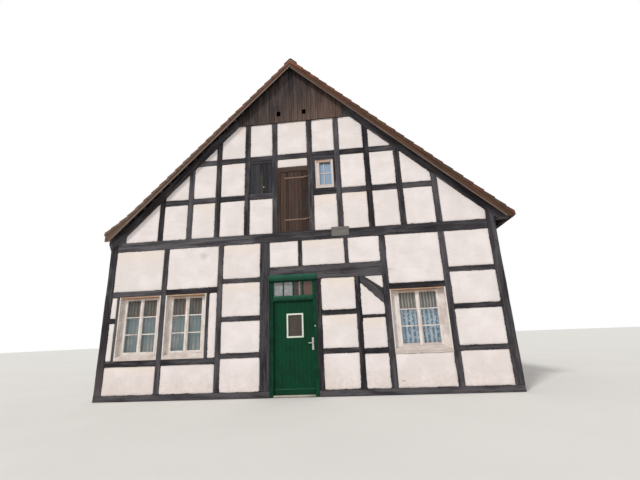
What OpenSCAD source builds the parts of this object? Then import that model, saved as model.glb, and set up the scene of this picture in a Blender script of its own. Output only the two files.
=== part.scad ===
// Half timbered house: plastered framing on all sides under a steep tiled roof.
// Millimetres. X runs along the front wall, Y from the front to the back, Z up from the ground.
// The origin is the middle of the ground floor.

/* [House] */
// Clearance between members of the joinery, and between the rafters and what is cut to their slope
fit_gap = 0.1; // [0.1:0.1:0.5]
// Length from the front wall's face to the back wall's face
house_len = 12000; // [10000:100:14000]
// Depth of the wall timbers
timber_d = 180; // [160:5:200]
// Thickness of the plastered infill panels
infill_t = 130; // [100:5:140]
// How far the infill sits behind the faces of the timbers
infill_recess = 12; // [5:1:20]
// Height of the sill beams on the ground
sill_h = 140; // [120:5:180]
// Thickness of the ground floor
floor_t = 45; // [30:5:60]
// Height of the storey beam's underside
beam_z = 3660; // [3560:10:3900]
// Height of the storey beam
beam_h = 240; // [200:10:260]

/* [Front bays] */
// Width of the corner posts
corner_post_w = 190; // [150:5:220]
// Width of the posts between the two left windows
window_post_w = 130; // [100:5:150]
// Width of the post left of the door
door_post_w = 240; // [180:5:260]
// Width of the posts under the lintel
lintel_post_w = 120; // [100:5:150]
// Width of the posts beside the right window
right_post_w = 140; // [100:5:160]
// Clear width of the bay of the left window
bay_left_window = 1315; // [1250:5:1500]
// Clear width of the bay of the middle window
bay_middle_window = 1335; // [1250:5:1500]
// Clear width of the plain bay left of the door
bay_left_of_door = 965; // [700:5:1200]
// Clear width of the door's bay
bay_door = 1150; // [1100:5:1300]
// Clear width of the bay right of the door
bay_right_of_door = 825; // [600:5:1000]
// Clear width of the bay with the brace
bay_brace = 545; // [500:5:700]
// Clear width of the bay of the right window
bay_right_window = 1290; // [1150:5:1400]
// Clear width of the bay at the right corner
bay_right_end = 1045; // [800:5:1300]

/* [Front rails] */
// Height of a plain rail
rail_h = 110; // [90:5:130]
// Underside of the rail below the two left windows
window_sill_z = 780; // [650:10:900]
// Height of the rails below and above the windows
window_rail_h = 135; // [100:5:160]
// Underside of the rail above the two left windows
window_head_z = 2460; // [2300:10:2600]
// Undersides of the rails left of the door
rails_left_of_door = [890, 1740, 2670]; // [700:10:3200]
// Undersides of the rails right of the door
rails_right_of_door = [920, 1790]; // [700:10:2200]
// Underside of the lower rail in the bay with the brace
brace_bay_rail_z = 890; // [700:10:1000]
// Underside of the thin rail in the bay with the brace
brace_bay_thin_z = 1690; // [1500:10:1750]
// Height of the thin rail in the bay with the brace
thin_rail_h = 60; // [40:5:90]
// Undersides of the rails in the bay at the right corner
rails_right_end = [880, 1800, 2660]; // [700:10:3200]
// Underside of the sill board of the right window
right_sill_z = 860; // [780:10:900]
// Height of the sill board of the right window
right_sill_h = 70; // [50:5:90]
// Underside of the rail above the right window
right_head_z = 2320; // [2200:10:2450]
// Width of the narrow studs beside the windows
narrow_stud_w = 70; // [50:5:90]
// Clear gap between the left corner post and its narrow stud
left_strip_w = 145; // [100:5:200]
// Clear gap between the narrow stud of the middle window and the next post
middle_strip_w = 200; // [140:5:240]
// Underside of the short rail beside the left window
strip_rail_z = 1820; // [1400:10:2000]

/* [Lintel] */
// Underside of the long lintel over the door
lintel_z = 2670; // [2640:5:2760]
// Height of the long lintel
lintel_h = 340; // [260:10:360]
// Centres of the short studs above the lintel, from the left end of the lintel
lintel_studs = [780, 1935]; // [300:5:2400]
// Width of the short studs above the lintel
lintel_stud_w = 90; // [70:5:120]
// How far down its post the brace reaches, at its lower edge
brace_drop = 670; // [500:10:750]
// Height of the brace where it meets the left post
brace_start = 145; // [100:5:180]
// Height of the brace where it meets the right post
brace_foot = 350; // [280:10:400]
// Length of the brace along the underside of the lintel
brace_top_w = 90; // [60:5:140]

/* [Gable] */
// Width of the gable's studs
gable_stud_w = 140; // [120:5:160]
// Clear width of the bay of the attic hatch
hatch_bay_w = 815; // [760:5:900]
// Distances between the studs left of the hatch, from the middle outwards
left_stud_steps = [760, 805, 760, 790]; // [600:5:900]
// Distances between the studs right of the hatch, from the middle outwards
right_stud_steps = [740, 780, 775, 870]; // [600:5:950]
// Height of the gable's rails
gable_rail_h = 150; // [110:5:170]
// Underside of the lower gable rail above the storey beam's top
gable_rail_1 = 970; // [850:10:1050]
// Underside of the upper gable rail above the storey beam's top
gable_rail_2 = 2080; // [2060:10:2200]
// Underside of the collar above the storey beam's top
gable_collar = 3230; // [3100:10:3300]
// Width of the timber block in the left corner of the gable
corner_block_w = 195; // [150:5:240]
// Thickness of the boards at the top of the gable
boarding_t = 25; // [20:1:35]
// Distance from the ridge to the right edge of the boarding
boarding_right = 1390; // [1250:10:1500]
// Width of the owl holes in the boarding
owl_hole_w = 110; // [80:5:140]
// Height of the owl holes in the boarding
owl_hole_h = 150; // [100:5:180]
// Distance between the owl holes
owl_hole_gap = 720; // [500:10:900]
// Middle of the owl holes above the underside of the boarding
owl_hole_z = 275; // [200:5:320]

// Width of the repair block on the storey beam
block_w = 440; // [350:10:500]
// Height of the repair block
block_h = 240; // [180:10:260]
// Thickness of the repair block
block_t = 20; // [10:1:30]
// Underside of the repair block above the beam's underside
block_rise = 50; // [0:5:80]
// Distance of the repair block's middle to the left of the stud that stands on it
block_shift = 30; // [0:5:60]

/* [Roof] */
// Pitch of the left slope in degrees
pitch_left = 45; // [42:0.1:47]
// Pitch of the right slope in degrees
pitch_right = 43.8; // [42:0.1:46]
// Distance of the ridge to the right of the middle
ridge_x = 30; // [-100:5:100]
// Rafters' underside at the left wall's face, above the storey beam's underside
rafter_foot_rise = 35; // [20:5:60]
// Depth of the rafters, measured plumb
rafter_rise = 297; // [240:1:320]
// Width of the rafters
rafter_w = 140; // [110:5:160]
// Largest distance between rafters
rafter_step = 1000; // [850:10:1100]
// Height of the roof battens, measured plumb
batten_rise = 42; // [30:1:60]
// Width of the roof battens along the slope, measured level
batten_w = 45; // [35:1:60]
// Distance between battens, measured level
batten_step = 235; // [200:5:260]
// Thickness of the tiled skin, measured plumb
tile_rise = 120; // [80:1:140]
// How far the roof runs out past the gable walls
verge_out = 200; // [150:5:260]
// How far the tiles run out past the left wall
eave_out_left = 115; // [80:5:200]
// How far the tiles run out past the right wall
eave_out_right = 425; // [300:5:450]
// How far the tiles' edge runs out past the rafters' ends
tile_over_rafter = 30; // [10:5:50]
// Level length of the left slope's kicked foot
kick_run = 660; // [400:10:900]
// How far the kick lifts the left eave, measured plumb
kick_rise = 160; // [60:5:180]
// Thickness of the thin ends of the wedges that make the kick
kick_tip_t = 12; // [8:1:20]
// Thickness of the verge boards
verge_board_t = 30; // [20:1:40]
// Height of the left verge boards, measured plumb
verge_left_rise = 149; // [120:1:190]
// Height of the right verge boards, measured plumb
verge_right_rise = 211; // [180:1:240]
// Share of the verge boards' height that the level cut at the eave takes
verge_cut = 0.8; // [0.3:0.1:0.9]
// Radius of the ridge tiles
ridge_tile_r = 115; // [100:5:140]
// How far the ridge tiles stand above the tiled skin
ridge_tile_rise = 20; // [15:1:30]
// Height of the wall plates at their outer face
plate_h = 200; // [160:10:220]

/* [Attic] */
// Width of the attic hatch's jambs
hatch_jamb_w = 70; // [50:5:90]
// Height of the attic hatch's leaf
hatch_h = 1670; // [1500:10:1700]
// Height of the attic hatch's head
hatch_head_h = 140; // [100:5:160]
// Height of the attic hatch's sill
hatch_sill_h = 30; // [20:5:50]
// Thickness of the boards of the attic hatch and the shutter
hatch_t = 35; // [25:1:50]
// How far the hatch and the shutter sit behind the timbers' faces
hatch_recess = 20; // [10:1:40]
// Thickness of the strap hinges on the hatch
strap_t = 8; // [5:1:10]
// Height of the strap hinges
strap_h = 45; // [30:1:60]
// Length of the strap hinges
strap_len = 560; // [450:10:600]
// How far the eyes of the strap hinges sit past the hatch's edge
strap_eye_over = 30; // [26:1:40]
// Radius of the attic hatch's hinge pins
attic_pin_r = 6; // [5:0.5:7]
// How far the attic hatch's hinge pins stand above their eyes
attic_pin_rise = 20; // [10:1:30]
// Distances of the hatch's strap hinges from its top and its foot
strap_inset = [190, 300]; // [100:10:500]
// Height of the ledge at the top of the shutter
ledge_h = 70; // [50:5:90]
// Thickness of that ledge
ledge_t = 14; // [10:1:18]
// Radius of the shutter's knob
knob_r = 16; // [12:1:18]
// Distance of the knob from the shutter's left edge
knob_x = 340; // [250:10:400]
// Distance of the knob from the shutter's foot
knob_z = 220; // [150:10:400]
// Width of the attic window
attic_window_w = 500; // [460:5:540]
// Height of the attic window
attic_window_h = 840; // [780:10:870]
// Gap between the attic window and the rail below it
attic_window_gap = 40; // [20:5:60]
// Width of the attic window's frame
attic_frame_w = 45; // [35:1:60]
// How far the attic window's bars sit behind the timbers' faces
attic_bar_recess = 40; // [20:1:60]

/* [Windows] */
// Width of the windows of the side and back walls
side_window_w = 1100; // [900:10:1200]
// Thickness of the boards that line a window's opening
lining_t = 30; // [20:1:40]
// How far a window's lining stands in front of the infill's face
lining_proud = 6; // [0:1:10]
// How far the sashes sit behind the timbers' faces
sash_recess = 120; // [100:5:125]
// Depth of a window's frame
frame_d = 55; // [45:1:55]
// Width of a window's frame with its lining, at the sides
frame_w = 110; // [80:5:130]
// Width of the right window's frame with its lining, at the sides
right_frame_w = 165; // [120:5:180]
// Height of a window's frame with its lining, at the head
frame_head_h = 45; // [40:1:80]
// Height of a window's frame with its sill, at the foot
frame_foot_h = 145; // [100:5:160]
// Height of the right window's frame at the foot
right_foot_h = 95; // [70:5:120]
// How far a window's sill lies below the foot of its sashes
sill_step = 25; // [15:1:30]
// How far a window's sill falls to its front edge
sill_fall = 35; // [15:1:38]
// Thickness of the sashes
sash_t = 40; // [30:1:45]
// Width of a sash's stiles and rails
stile_w = 45; // [35:1:55]
// Width of a glazing bar
bar_w = 24; // [16:1:30]
// Thickness of a glazing bar
bar_t = 14; // [10:1:18]
// Thickness of the window glass
glass_t = 4; // [3:1:6]
// Number of panes in a sash, one over the other
panes = 3; // [2:1:4]
// Gap between the two sashes of a window
sash_gap = 3; // [2:1:5]
// Radius of the curtain rods
rod_r = 8; // [6:1:12]
// How far a lower rod runs past its window on either side
rod_over = 40; // [20:5:60]
// Space that a curtain's folds take
curtain_t = 40; // [30:1:60]
// Gap between the curtains and the wall
curtain_gap = 3; // [2:1:10]

/* [Side and back walls] */
// Number of bays in each side wall
side_bays = 6; // [5:1:7]
// Number of bays in the back wall
back_bays = 6; // [5:1:6]
// Width of the posts in the side and back walls
side_post_w = 150; // [120:5:180]
// Undersides of the rails in the side and back walls
side_rail_z = [890, 1760, 2660]; // [700:10:3200]

/* [Floors and ties] */
// Thickness of the attic floor's boards
deck_t = 30; // [25:1:40]
// Height of the tie beams
tie_h = 240; // [200:10:260]
// Width of the tie beams
tie_w = 180; // [150:5:220]
// Gap between the attic floor's edge and the rafters
deck_gap = 15; // [5:1:30]
// Height of the collars between the rafters
collar_h = 150; // [120:5:180]

/* [Door] */
// How far the door frame sits behind the posts' faces
door_frame_recess = 20; // [10:1:40]
// Depth of the door frame
door_frame_d = 100; // [90:1:130]
// Width of the door frame's face
door_jamb_w = 90; // [70:1:110]
// Width of the rebate that the leaf closes into
door_rebate = 15; // [12:1:20]
// Thickness of the door leaf
leaf_t = 45; // [38:1:50]
// Number of boards in the door leaf
leaf_boards = 10; // [8:1:11]
// Width of the grooves between the leaf's boards
groove_w = 8; // [4:1:12]
// Depth of the grooves between the leaf's boards
groove_d = 5; // [3:0.5:8]
// Height of the weather board at the foot of the leaf
weather_board_h = 125; // [90:5:150]
// Thickness of the weather board
weather_board_t = 14; // [10:1:18]
// Gap between the weather board and the door frame
weather_board_gap = 10; // [8:1:14]
// Height of the transom rail's underside
transom_z = 2170; // [2050:10:2200]
// Height of the transom rail
transom_h = 120; // [90:5:130]
// Height of the frame's head
door_head_h = 40; // [30:1:60]
// Thickness of the capping board over the door
cap_t = 30; // [20:1:40]
// Height of the capping board over the door
cap_h = 150; // [100:5:170]
// How far the capping board stands out past the frame
cap_over = 20; // [0:1:30]
// Gap round the leaf
door_gap = 5; // [5:1:8]
// Gap between the leaf's free edge and the jamb
door_free_gap = 9; // [9:1:14]
// Gap between the leaf and the threshold
door_floor_gap = 10; // [8:1:15]
// Width of the window in the leaf
leaf_glass_w = 330; // [250:10:360]
// Height of the window in the leaf
leaf_glass_h = 490; // [400:10:520]
// Underside of the window in the leaf
leaf_glass_z = 1335; // [1250:5:1380]
// Distance of that window's middle from the leaf's hinged edge
leaf_glass_x = 528; // [480:2:560]
// Width of the beading round the window in the leaf
bead_w = 38; // [25:1:45]
// Thickness of that beading
bead_t = 12; // [8:1:16]
// Radius of the hinge pins
pin_r = 7; // [6:0.5:9]
// Gap between the lever's spindle and its bore in the leaf
bore_gap = 3; // [2:0.5:4]
// Gap between a pin and its eye, and under the eye
pin_gap = 0.3; // [0.2:0.05:0.5]
// Wall of the hinge eyes
eye_wall = 6; // [5:1:7]
// Height of the hinge eyes and straps
eye_h = 40; // [30:1:50]
// Distance of the pins behind the leaf's inner face
pin_out = 17; // [16:1:20]
// Heights of the hinges above the ground
hinge_z = [350, 1950]; // [250:10:2050]
// Height of a pintle's arm under its pin
pintle_arm_h = 14; // [10:1:18]
// How far a pintle's collar stands out from its pin
pintle_collar = 2; // [1:0.5:3]
// Height of a pintle's plate on the jamb
pintle_plate_h = 70; // [50:5:90]
// Thickness of a pintle's plate
pintle_plate_t = 6; // [4:1:8]
// Distance of a pintle's plate from the jamb's outer edge
pintle_inset = 10; // [5:1:20]
// Length of the leaf's hinge straps
leaf_strap_len = 600; // [400:10:700]
// Thickness of the leaf's hinge straps
leaf_strap_t = 8; // [6:1:9]
// Height of the lever's spindle above the ground
lever_z = 1170; // [1000:10:1200]
// Distance of the lever's spindle from the leaf's free edge
lever_inset = 40; // [34:1:60]
// Length of the lever
lever_len = 105; // [90:1:120]
// Radius of the lever's neck
neck_r = 9; // [8:0.5:11]
// Radius of the lever's spindle
spindle_r = 5; // [4:0.5:6]
// How far the lever's grip stands out from the leaf
grip_out = 42; // [38:1:45]
// Thickness of the lever's grip
grip_t = 14; // [10:1:16]
// Height of the lever's grip
grip_h = 20; // [16:1:24]
// Thickness of the lock plates
lock_plate_t = 4; // [3:1:5]
// Width of the lock plates
lock_plate_w = 44; // [38:1:50]
// Height of the lock plates
lock_plate_h = 280; // [240:5:300]
// How far the lock plates reach below the lever's spindle
lock_plate_drop = 160; // [140:5:180]

/* [Hidden] */
$fn = 48;

TIMBER = [0.13, 0.12, 0.12];
PLASTER = [0.90, 0.89, 0.86];
PAINT = [0.92, 0.91, 0.87];
GLASS = [0.62, 0.72, 0.76, 0.4];
GREEN = [0.03, 0.27, 0.17];
BROWN = [0.27, 0.19, 0.14];
WEATHERED = [0.32, 0.27, 0.23];
CLAY = [0.50, 0.24, 0.17];
IRON = [0.25, 0.24, 0.23];
STONE = [0.55, 0.52, 0.47];
REPAIR = [0.36, 0.36, 0.35];
CLOTH = [0.86, 0.84, 0.78];

// A pair of values round a middle, and a pair from a start
function around(middle, size) = [middle - size / 2, middle + size / 2];
function from(start, size) = [start, start + size];
// Sum of the first n values of a list
function run(list, n) = n <= 0 ? 0 : list[n - 1] + run(list, n - 1);

bays = [bay_left_window, bay_middle_window, bay_left_of_door, bay_door,
        bay_right_of_door, bay_brace, bay_right_window, bay_right_end];
post_widths = [corner_post_w, window_post_w, window_post_w, door_post_w, lintel_post_w,
               lintel_post_w, right_post_w, right_post_w, corner_post_w];
house_w = run(bays, 8) + run(post_widths, 9);
half_w = house_w / 2;
half_len = house_len / 2;
beam_top = beam_z + beam_h;

// Left edge of a front post, and the two edges of a front bay
function post_x(i) = -half_w + run(bays, i) + run(post_widths, i);
function bay(i) = [post_x(i) + post_widths[i], post_x(i + 1)];

// The roof's planes, as heights above a place along X
slope_left = tan(pitch_left);
slope_right = tan(pitch_right);
ridge_low = beam_z + rafter_foot_rise + (half_w + ridge_x) * slope_left;
function roof_z(x, rise = 0) =
    ridge_low + rise - (x < ridge_x ? (ridge_x - x) * slope_left : (x - ridge_x) * slope_right);
batten_low = rafter_rise;
tile_low = rafter_rise + batten_rise;
tile_top = tile_low + tile_rise;
eave_left_x = -half_w - eave_out_left;
eave_right_x = half_w + eave_out_right;
// Wedges on the left rafters' feet lift the battens and tiles to a flatter pitch at the eave
kick_x = eave_left_x + kick_run;
function kick(x) = max(0, kick_x - x) * kick_rise / kick_run;

// Part of an outline on the side of a line where side_of is not negative, where that is in one piece
function clip(points, side_of) = [
    for (i = [0 : len(points) - 1])
        let (a = points[i], b = points[(i + 1) % len(points)], fa = side_of(a), fb = side_of(b))
            each concat(
                fa >= 0 ? [a] : [],
                fa * fb < 0 ? [a + (b - a) * fa / (fa - fb)] : [])
];
under_left = function(p) ridge_low - fit_gap - (ridge_x - p[0]) * slope_left - p[1];
under_right = function(p) ridge_low - fit_gap - (p[0] - ridge_x) * slope_right - p[1];
function under_rafters(points) =
    let (left = clip(points, under_left)) len(left) < 3 ? [] : clip(left, under_right);
function rect(x, z) = [[x[0], z[0]], [x[1], z[0]], [x[1], z[1]], [x[0], z[1]]];
function twice_area(p) = len(p) < 3 ? 0 :
    let (n = len(p), q = [for (i = [0 : n - 1]) p[(i + 1) % n]])
        abs(run([for (i = [0 : n - 1]) p[i][0] * q[i][1] - q[i][0] * p[i][1]], n));
// Outlines smaller than this are slivers, and are left out
smallest_area = 4000;

// Places the children on a wall: X along it, Y inwards from its outer face
module on_front() { translate([0, -half_len, 0]) children(); }
module on_back() { translate([0, half_len, 0]) mirror([0, 1, 0]) children(); }
module on_left() { translate([-half_w, 0, 0]) rotate([0, 0, -90]) children(); }
module on_right() { translate([half_w, 0, 0]) rotate([0, 0, 90]) children(); }

// A block on a wall: x and z are pairs, depth is the distance behind the face and t the thickness
module block(x, z, depth = 0, t = timber_d) {
    translate([x[0], depth, z[0]]) cube([x[1] - x[0], t, z[1] - z[0]]);
}
// The span that a member takes between two others
function fitted(span) = [span[0] + fit_gap, span[1] - fit_gap];
// An outline in the wall's plane with a thickness
module plate(points, depth = 0, t = timber_d) {
    translate([0, depth + t, 0]) rotate([90, 0, 0]) linear_extrude(t) polygon(points);
}
module plate_under_rafters(points, depth = 0, t = timber_d) {
    shape = under_rafters(points);
    if (twice_area(shape) > 2 * smallest_area) plate(shape, depth, t);
}
module panel(x, z) { block(x, z, infill_recess, infill_t); }
module gable_panel(x, z) { plate_under_rafters(rect(x, z), infill_recess, infill_t); }

// The panels of one bay between its rails; rails are pairs of a height and a rail's own height
module bay_panels(x, rails, z) {
    edges = concat([z[0]], [for (r = rails) each [r[0], r[0] + r[1]]], [z[1]]);
    for (i = [0 : 2 : len(edges) - 2]) panel(x, [edges[i], edges[i + 1]]);
}
module bay_rails(x, rails) {
    for (r = rails) block(x, [r[0], r[0] + r[1]]);
}
function plain_rails(heights) = [for (z = heights) [z, rail_h]];
window_rails = [[window_sill_z, window_rail_h], [window_head_z, window_rail_h]];
window_z = [window_sill_z + window_rail_h, window_head_z];

// Ground floor of the front
left_window_x = [bay(0)[0] + left_strip_w + narrow_stud_w, bay(0)[1]];
middle_window_x = [bay(1)[0], bay(1)[1] - middle_strip_w - narrow_stud_w];
right_window_z = [right_sill_z + right_sill_h, right_head_z];
strip_x = [bay(0)[0], left_window_x[0] - narrow_stud_w];
lintel_x = [bay(3)[0], bay(5)[1]];
lintel_top = lintel_z + lintel_h;
door_x = bay(3);

module ground_floor() {
    color(STONE) translate([-half_w + timber_d, -half_len + timber_d, 0])
        cube([house_w - 2 * timber_d, house_len - 2 * timber_d, floor_t]);
}

module cross_sills() {
    color(TIMBER) {
        on_front() for (x = [[-half_w, door_x[0]], [door_x[1], half_w]]) block(x, [0, sill_h]);
        on_back() block([-half_w, half_w], [0, sill_h]);
    }
}
module side_sills() {
    color(TIMBER) {
        on_left() block([-half_len + timber_d, half_len - timber_d], [0, sill_h]);
        on_right() block([-half_len + timber_d, half_len - timber_d], [0, sill_h]);
    }
}

module door_threshold() {
    color(STONE) on_front() block(door_inner, [0, floor_t]);
}

// Corner posts run up to the rafters, and their heads are cut to the slope
module corner_posts() {
    for (x = [[-half_w, -half_w + corner_post_w], [half_w - corner_post_w, half_w]])
        plate_under_rafters(rect(x, [sill_h, ridge_low]));
}

module front_posts() {
    color(TIMBER) on_front() {
        corner_posts();
        for (i = [1 : 7])
            block([post_x(i), post_x(i) + post_widths[i]], [sill_h, i == 4 || i == 5 ? lintel_z : beam_z]);
        block([left_window_x[0] - narrow_stud_w, left_window_x[0]], window_z);
        block([middle_window_x[1], middle_window_x[1] + narrow_stud_w], window_z);
        for (x = lintel_studs)
            block(around(lintel_x[0] + x, lintel_stud_w), [lintel_top, beam_z]);
    }
}

module front_rails() {
    color(TIMBER) on_front() {
        bay_rails(bay(0), window_rails);
        bay_rails(bay(1), window_rails);
        block(strip_x, [strip_rail_z, strip_rail_z + rail_h]);
        bay_rails(bay(2), plain_rails(rails_left_of_door));
        bay_rails(bay(4), plain_rails(rails_right_of_door));
        bay_rails(bay(5), [[brace_bay_rail_z, rail_h], [brace_bay_thin_z, thin_rail_h]]);
        bay_rails(bay(6), [[right_head_z, window_rail_h]]);
        bay_rails(bay(7), plain_rails(rails_right_end));
    }
}

module door_lintel() {
    color(TIMBER) on_front() block(lintel_x, [lintel_z, lintel_top]);
}

brace_low = [[bay(5)[0], lintel_z - brace_start], [bay(5)[1], lintel_z - brace_drop]];
brace_high = [[bay(5)[1], lintel_z - brace_drop + brace_foot], [bay(5)[0] + brace_top_w, lintel_z]];
module lintel_brace() {
    color(TIMBER) on_front() plate(concat(brace_low, brace_high, [[bay(5)[0], lintel_z]]));
}

module storey_beam() {
    plate_under_rafters(rect([-half_w + corner_post_w, half_w - corner_post_w], [beam_z, beam_top]));
}
module front_storey_beam() {
    color(TIMBER) on_front() storey_beam();
}
// A newer block is let onto the beam, at the foot of a stud
module beam_repair_block() {
    color(REPAIR) on_front()
        block(around(studs[attic_window_bay + 1] - block_shift, block_w),
            from(beam_z + block_rise, block_h), -block_t, block_t);
}

module front_wall_infill() {
    full = [sill_h, beam_z];
    above = concat([lintel_x[0] - lintel_stud_w / 2],
        [for (x = lintel_studs) lintel_x[0] + x], [lintel_x[1] + lintel_stud_w / 2]);
    color(PLASTER) on_front() {
        for (i = [0, 1]) {
            panel(bay(i), [sill_h, window_sill_z]);
            panel(bay(i), [window_head_z + window_rail_h, beam_z]);
        }
        bay_panels(strip_x, [[strip_rail_z, rail_h]], window_z);
        panel([bay(1)[1] - middle_strip_w, bay(1)[1]], window_z);
        bay_panels(bay(2), plain_rails(rails_left_of_door), full);
        bay_panels(bay(4), plain_rails(rails_right_of_door), [sill_h, lintel_z]);
        panel(bay(5), [sill_h, brace_bay_rail_z]);
        panel(bay(5), [brace_bay_rail_z + rail_h, brace_bay_thin_z]);
        plate([[bay(5)[0], brace_bay_thin_z + thin_rail_h], [bay(5)[1], brace_bay_thin_z + thin_rail_h],
            brace_low[1], brace_low[0]], infill_recess, infill_t);
        plate([brace_high[0], [bay(5)[1], lintel_z], brace_high[1]], infill_recess, infill_t);
        panel(bay(6), [sill_h, right_sill_z]);
        panel(bay(6), [right_head_z + window_rail_h, beam_z]);
        bay_panels(bay(7), plain_rails(rails_right_end), full);
        for (i = [0 : len(above) - 2])
            panel([above[i] + lintel_stud_w / 2, above[i + 1] - lintel_stud_w / 2], [lintel_top, beam_z]);
    }
}

// The gable's studs, from left to right, by their middles
inner_stud = hatch_bay_w / 2 + gable_stud_w / 2;
studs = concat(
    [for (i = [4 : -1 : 0]) -inner_stud - run(left_stud_steps, i)],
    [for (i = [0 : 4]) inner_stud + run(right_stud_steps, i)]);
hatch_bay = 4;
shutter_bay = 3;
attic_window_bay = 5;
function gable_bay(i) = [studs[i] + gable_stud_w / 2, studs[i + 1] - gable_stud_w / 2];
rail_1 = [beam_top + gable_rail_1, beam_top + gable_rail_1 + gable_rail_h];
rail_2 = [beam_top + gable_rail_2, beam_top + gable_rail_2 + gable_rail_h];
collar_z = beam_top + gable_collar;
gable_left_x = -half_w + corner_post_w;
gable_right_x = half_w - corner_post_w;
hatch_x = gable_bay(hatch_bay);
hatch_z = [beam_top + hatch_sill_h, beam_top + hatch_sill_h + hatch_h];

module gable_studs() {
    for (x = studs)
        plate_under_rafters(rect(around(x, gable_stud_w), [beam_top, collar_z]));
    plate_under_rafters(rect([gable_left_x, gable_left_x + corner_block_w], [beam_top, rail_1[0]]));
}
// The rail in the head bay comes down to the head of a window there
module gable_rails(open_bay = -1, head_bay = -1, head_z = 0) {
    for (i = [0 : len(studs) - 2]) {
        if (i != open_bay) plate_under_rafters(rect(gable_bay(i), rail_1));
        plate_under_rafters(rect(gable_bay(i), [i == head_bay ? head_z : rail_2[0], rail_2[1]]));
    }
    plate_under_rafters(rect([gable_left_x, gable_right_x], [collar_z, collar_z + gable_rail_h]));
}
module gable_infill(left_out) {
    gable_panel([gable_left_x + corner_block_w, studs[0] - gable_stud_w / 2], [beam_top, collar_z]);
    gable_panel([studs[len(studs) - 1] + gable_stud_w / 2, gable_right_x], [beam_top, collar_z]);
    for (i = [0 : len(studs) - 2]) {
        if (i != left_out[0]) gable_panel(gable_bay(i), [beam_top, rail_1[0]]);
        if (len([for (b = left_out) if (b == i) b]) == 0)
            gable_panel(gable_bay(i), [rail_1[1], rail_2[0]]);
        gable_panel(gable_bay(i), [rail_2[1], collar_z]);
    }
}

module front_gable_studs() { color(TIMBER) on_front() gable_studs(); }
attic_window_middle = (gable_bay(attic_window_bay)[0] + gable_bay(attic_window_bay)[1]) / 2;
attic_window_x = around(attic_window_middle, attic_window_w);
attic_window_z = from(rail_1[1] + attic_window_gap, attic_window_h);
module front_gable_rails() {
    color(TIMBER) on_front() gable_rails(hatch_bay, attic_window_bay, attic_window_z[1]);
}
module front_gable_infill() {
    beside = gable_bay(attic_window_bay);
    color(PLASTER) on_front() {
        gable_infill([hatch_bay, shutter_bay, attic_window_bay]);
        gable_panel(hatch_x, [hatch_z[1] + hatch_head_h, rail_2[0]]);
        gable_panel([beside[0], attic_window_x[0]], [rail_1[1], attic_window_z[1]]);
        gable_panel([attic_window_x[1], beside[1]], [rail_1[1], attic_window_z[1]]);
    }
}

// Boards at the top of the gable, over the collar and the rafters, up to the battens
module boarding() {
    left = ridge_x - (ridge_low - collar_z) / slope_left;
    right = ridge_x + boarding_right;
    difference() {
        plate([[left, collar_z], [right, collar_z], [right, roof_z(right, batten_low)],
            [ridge_x, roof_z(ridge_x, batten_low)], [left, roof_z(left, batten_low)]],
            -boarding_t, boarding_t);
        for (x = around(0, owl_hole_gap))
            block(around(x, owl_hole_w), around(collar_z + owl_hole_z, owl_hole_h),
                -2 * boarding_t, 3 * boarding_t);
    }
}
module gable_boarding() {
    color(WEATHERED) {
        on_front() boarding();
        on_back() boarding();
    }
}

// A window's frame with its lining; side, head and foot are the widths that it takes of the opening
lining_depth = infill_recess - lining_proud;
lining_d = sash_recess - fit_gap - lining_depth;
module window_frame(x, z, side, head, foot) {
    inner_x = [x[0] + side, x[1] - side];
    inner_z = [z[0] + foot, z[1] - head];
    lining_x = [x[0] + lining_t, x[1] - lining_t];
    for (e = [[x[0], lining_x[0]], [lining_x[1], x[1]]]) block(e, z, lining_depth, lining_d);
    block(fitted(lining_x), [z[1] - lining_t, z[1]], lining_depth, lining_d);
    sloped_sill(fitted(lining_x), z[0], foot);
    for (e = [[x[0], inner_x[0]], [inner_x[1], x[1]]]) block(e, z, sash_recess, frame_d);
    block(fitted(inner_x), [inner_z[1], z[1]], sash_recess, frame_d);
    block(fitted(inner_x), [z[0], inner_z[0]], sash_recess, frame_d);
}
// The sill slopes down and outwards in front of the frame
module sloped_sill(x, z, foot) {
    translate([x[0], 0, z]) rotate([90, 0, 90]) linear_extrude(x[1] - x[0])
        polygon([[lining_depth, 0], [lining_depth + lining_d, 0], [lining_depth + lining_d, foot - sill_step],
            [lining_depth, foot - sill_step - sill_fall]]);
}
// The two sashes of a window, as the spans that they take
function sash_spans(x, side) = let (middle = (x[0] + x[1]) / 2)
    [[x[0] + side, middle - sash_gap / 2], [middle + sash_gap / 2, x[1] - side]];
function pane_z(z) =
    [for (i = [1 : panes - 1]) z[0] + stile_w + (z[1] - z[0] - 2 * stile_w) * i / panes];
module window_sashes(x, z, side, head, foot) {
    rise = [z[0] + foot, z[1] - head];
    for (span = sash_spans(x, side)) {
        inside = [span[0] + stile_w, span[1] - stile_w];
        for (e = [[span[0], inside[0]], [inside[1], span[1]]]) block(e, rise, sash_recess, sash_t);
        for (e = [[rise[0], rise[0] + stile_w], [rise[1] - stile_w, rise[1]]])
            block(fitted(inside), e, sash_recess, sash_t);
        for (b = pane_z(rise))
            block(fitted(inside), around(b, bar_w), sash_recess + sash_t / 2 - bar_t, bar_t);
    }
}
module window_glass(x, z, side, head, foot) {
    for (span = sash_spans(x, side))
        block([span[0] + stile_w, span[1] - stile_w], [z[0] + foot + stile_w, z[1] - head - stile_w],
            sash_recess + sash_t / 2, glass_t);
}

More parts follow.
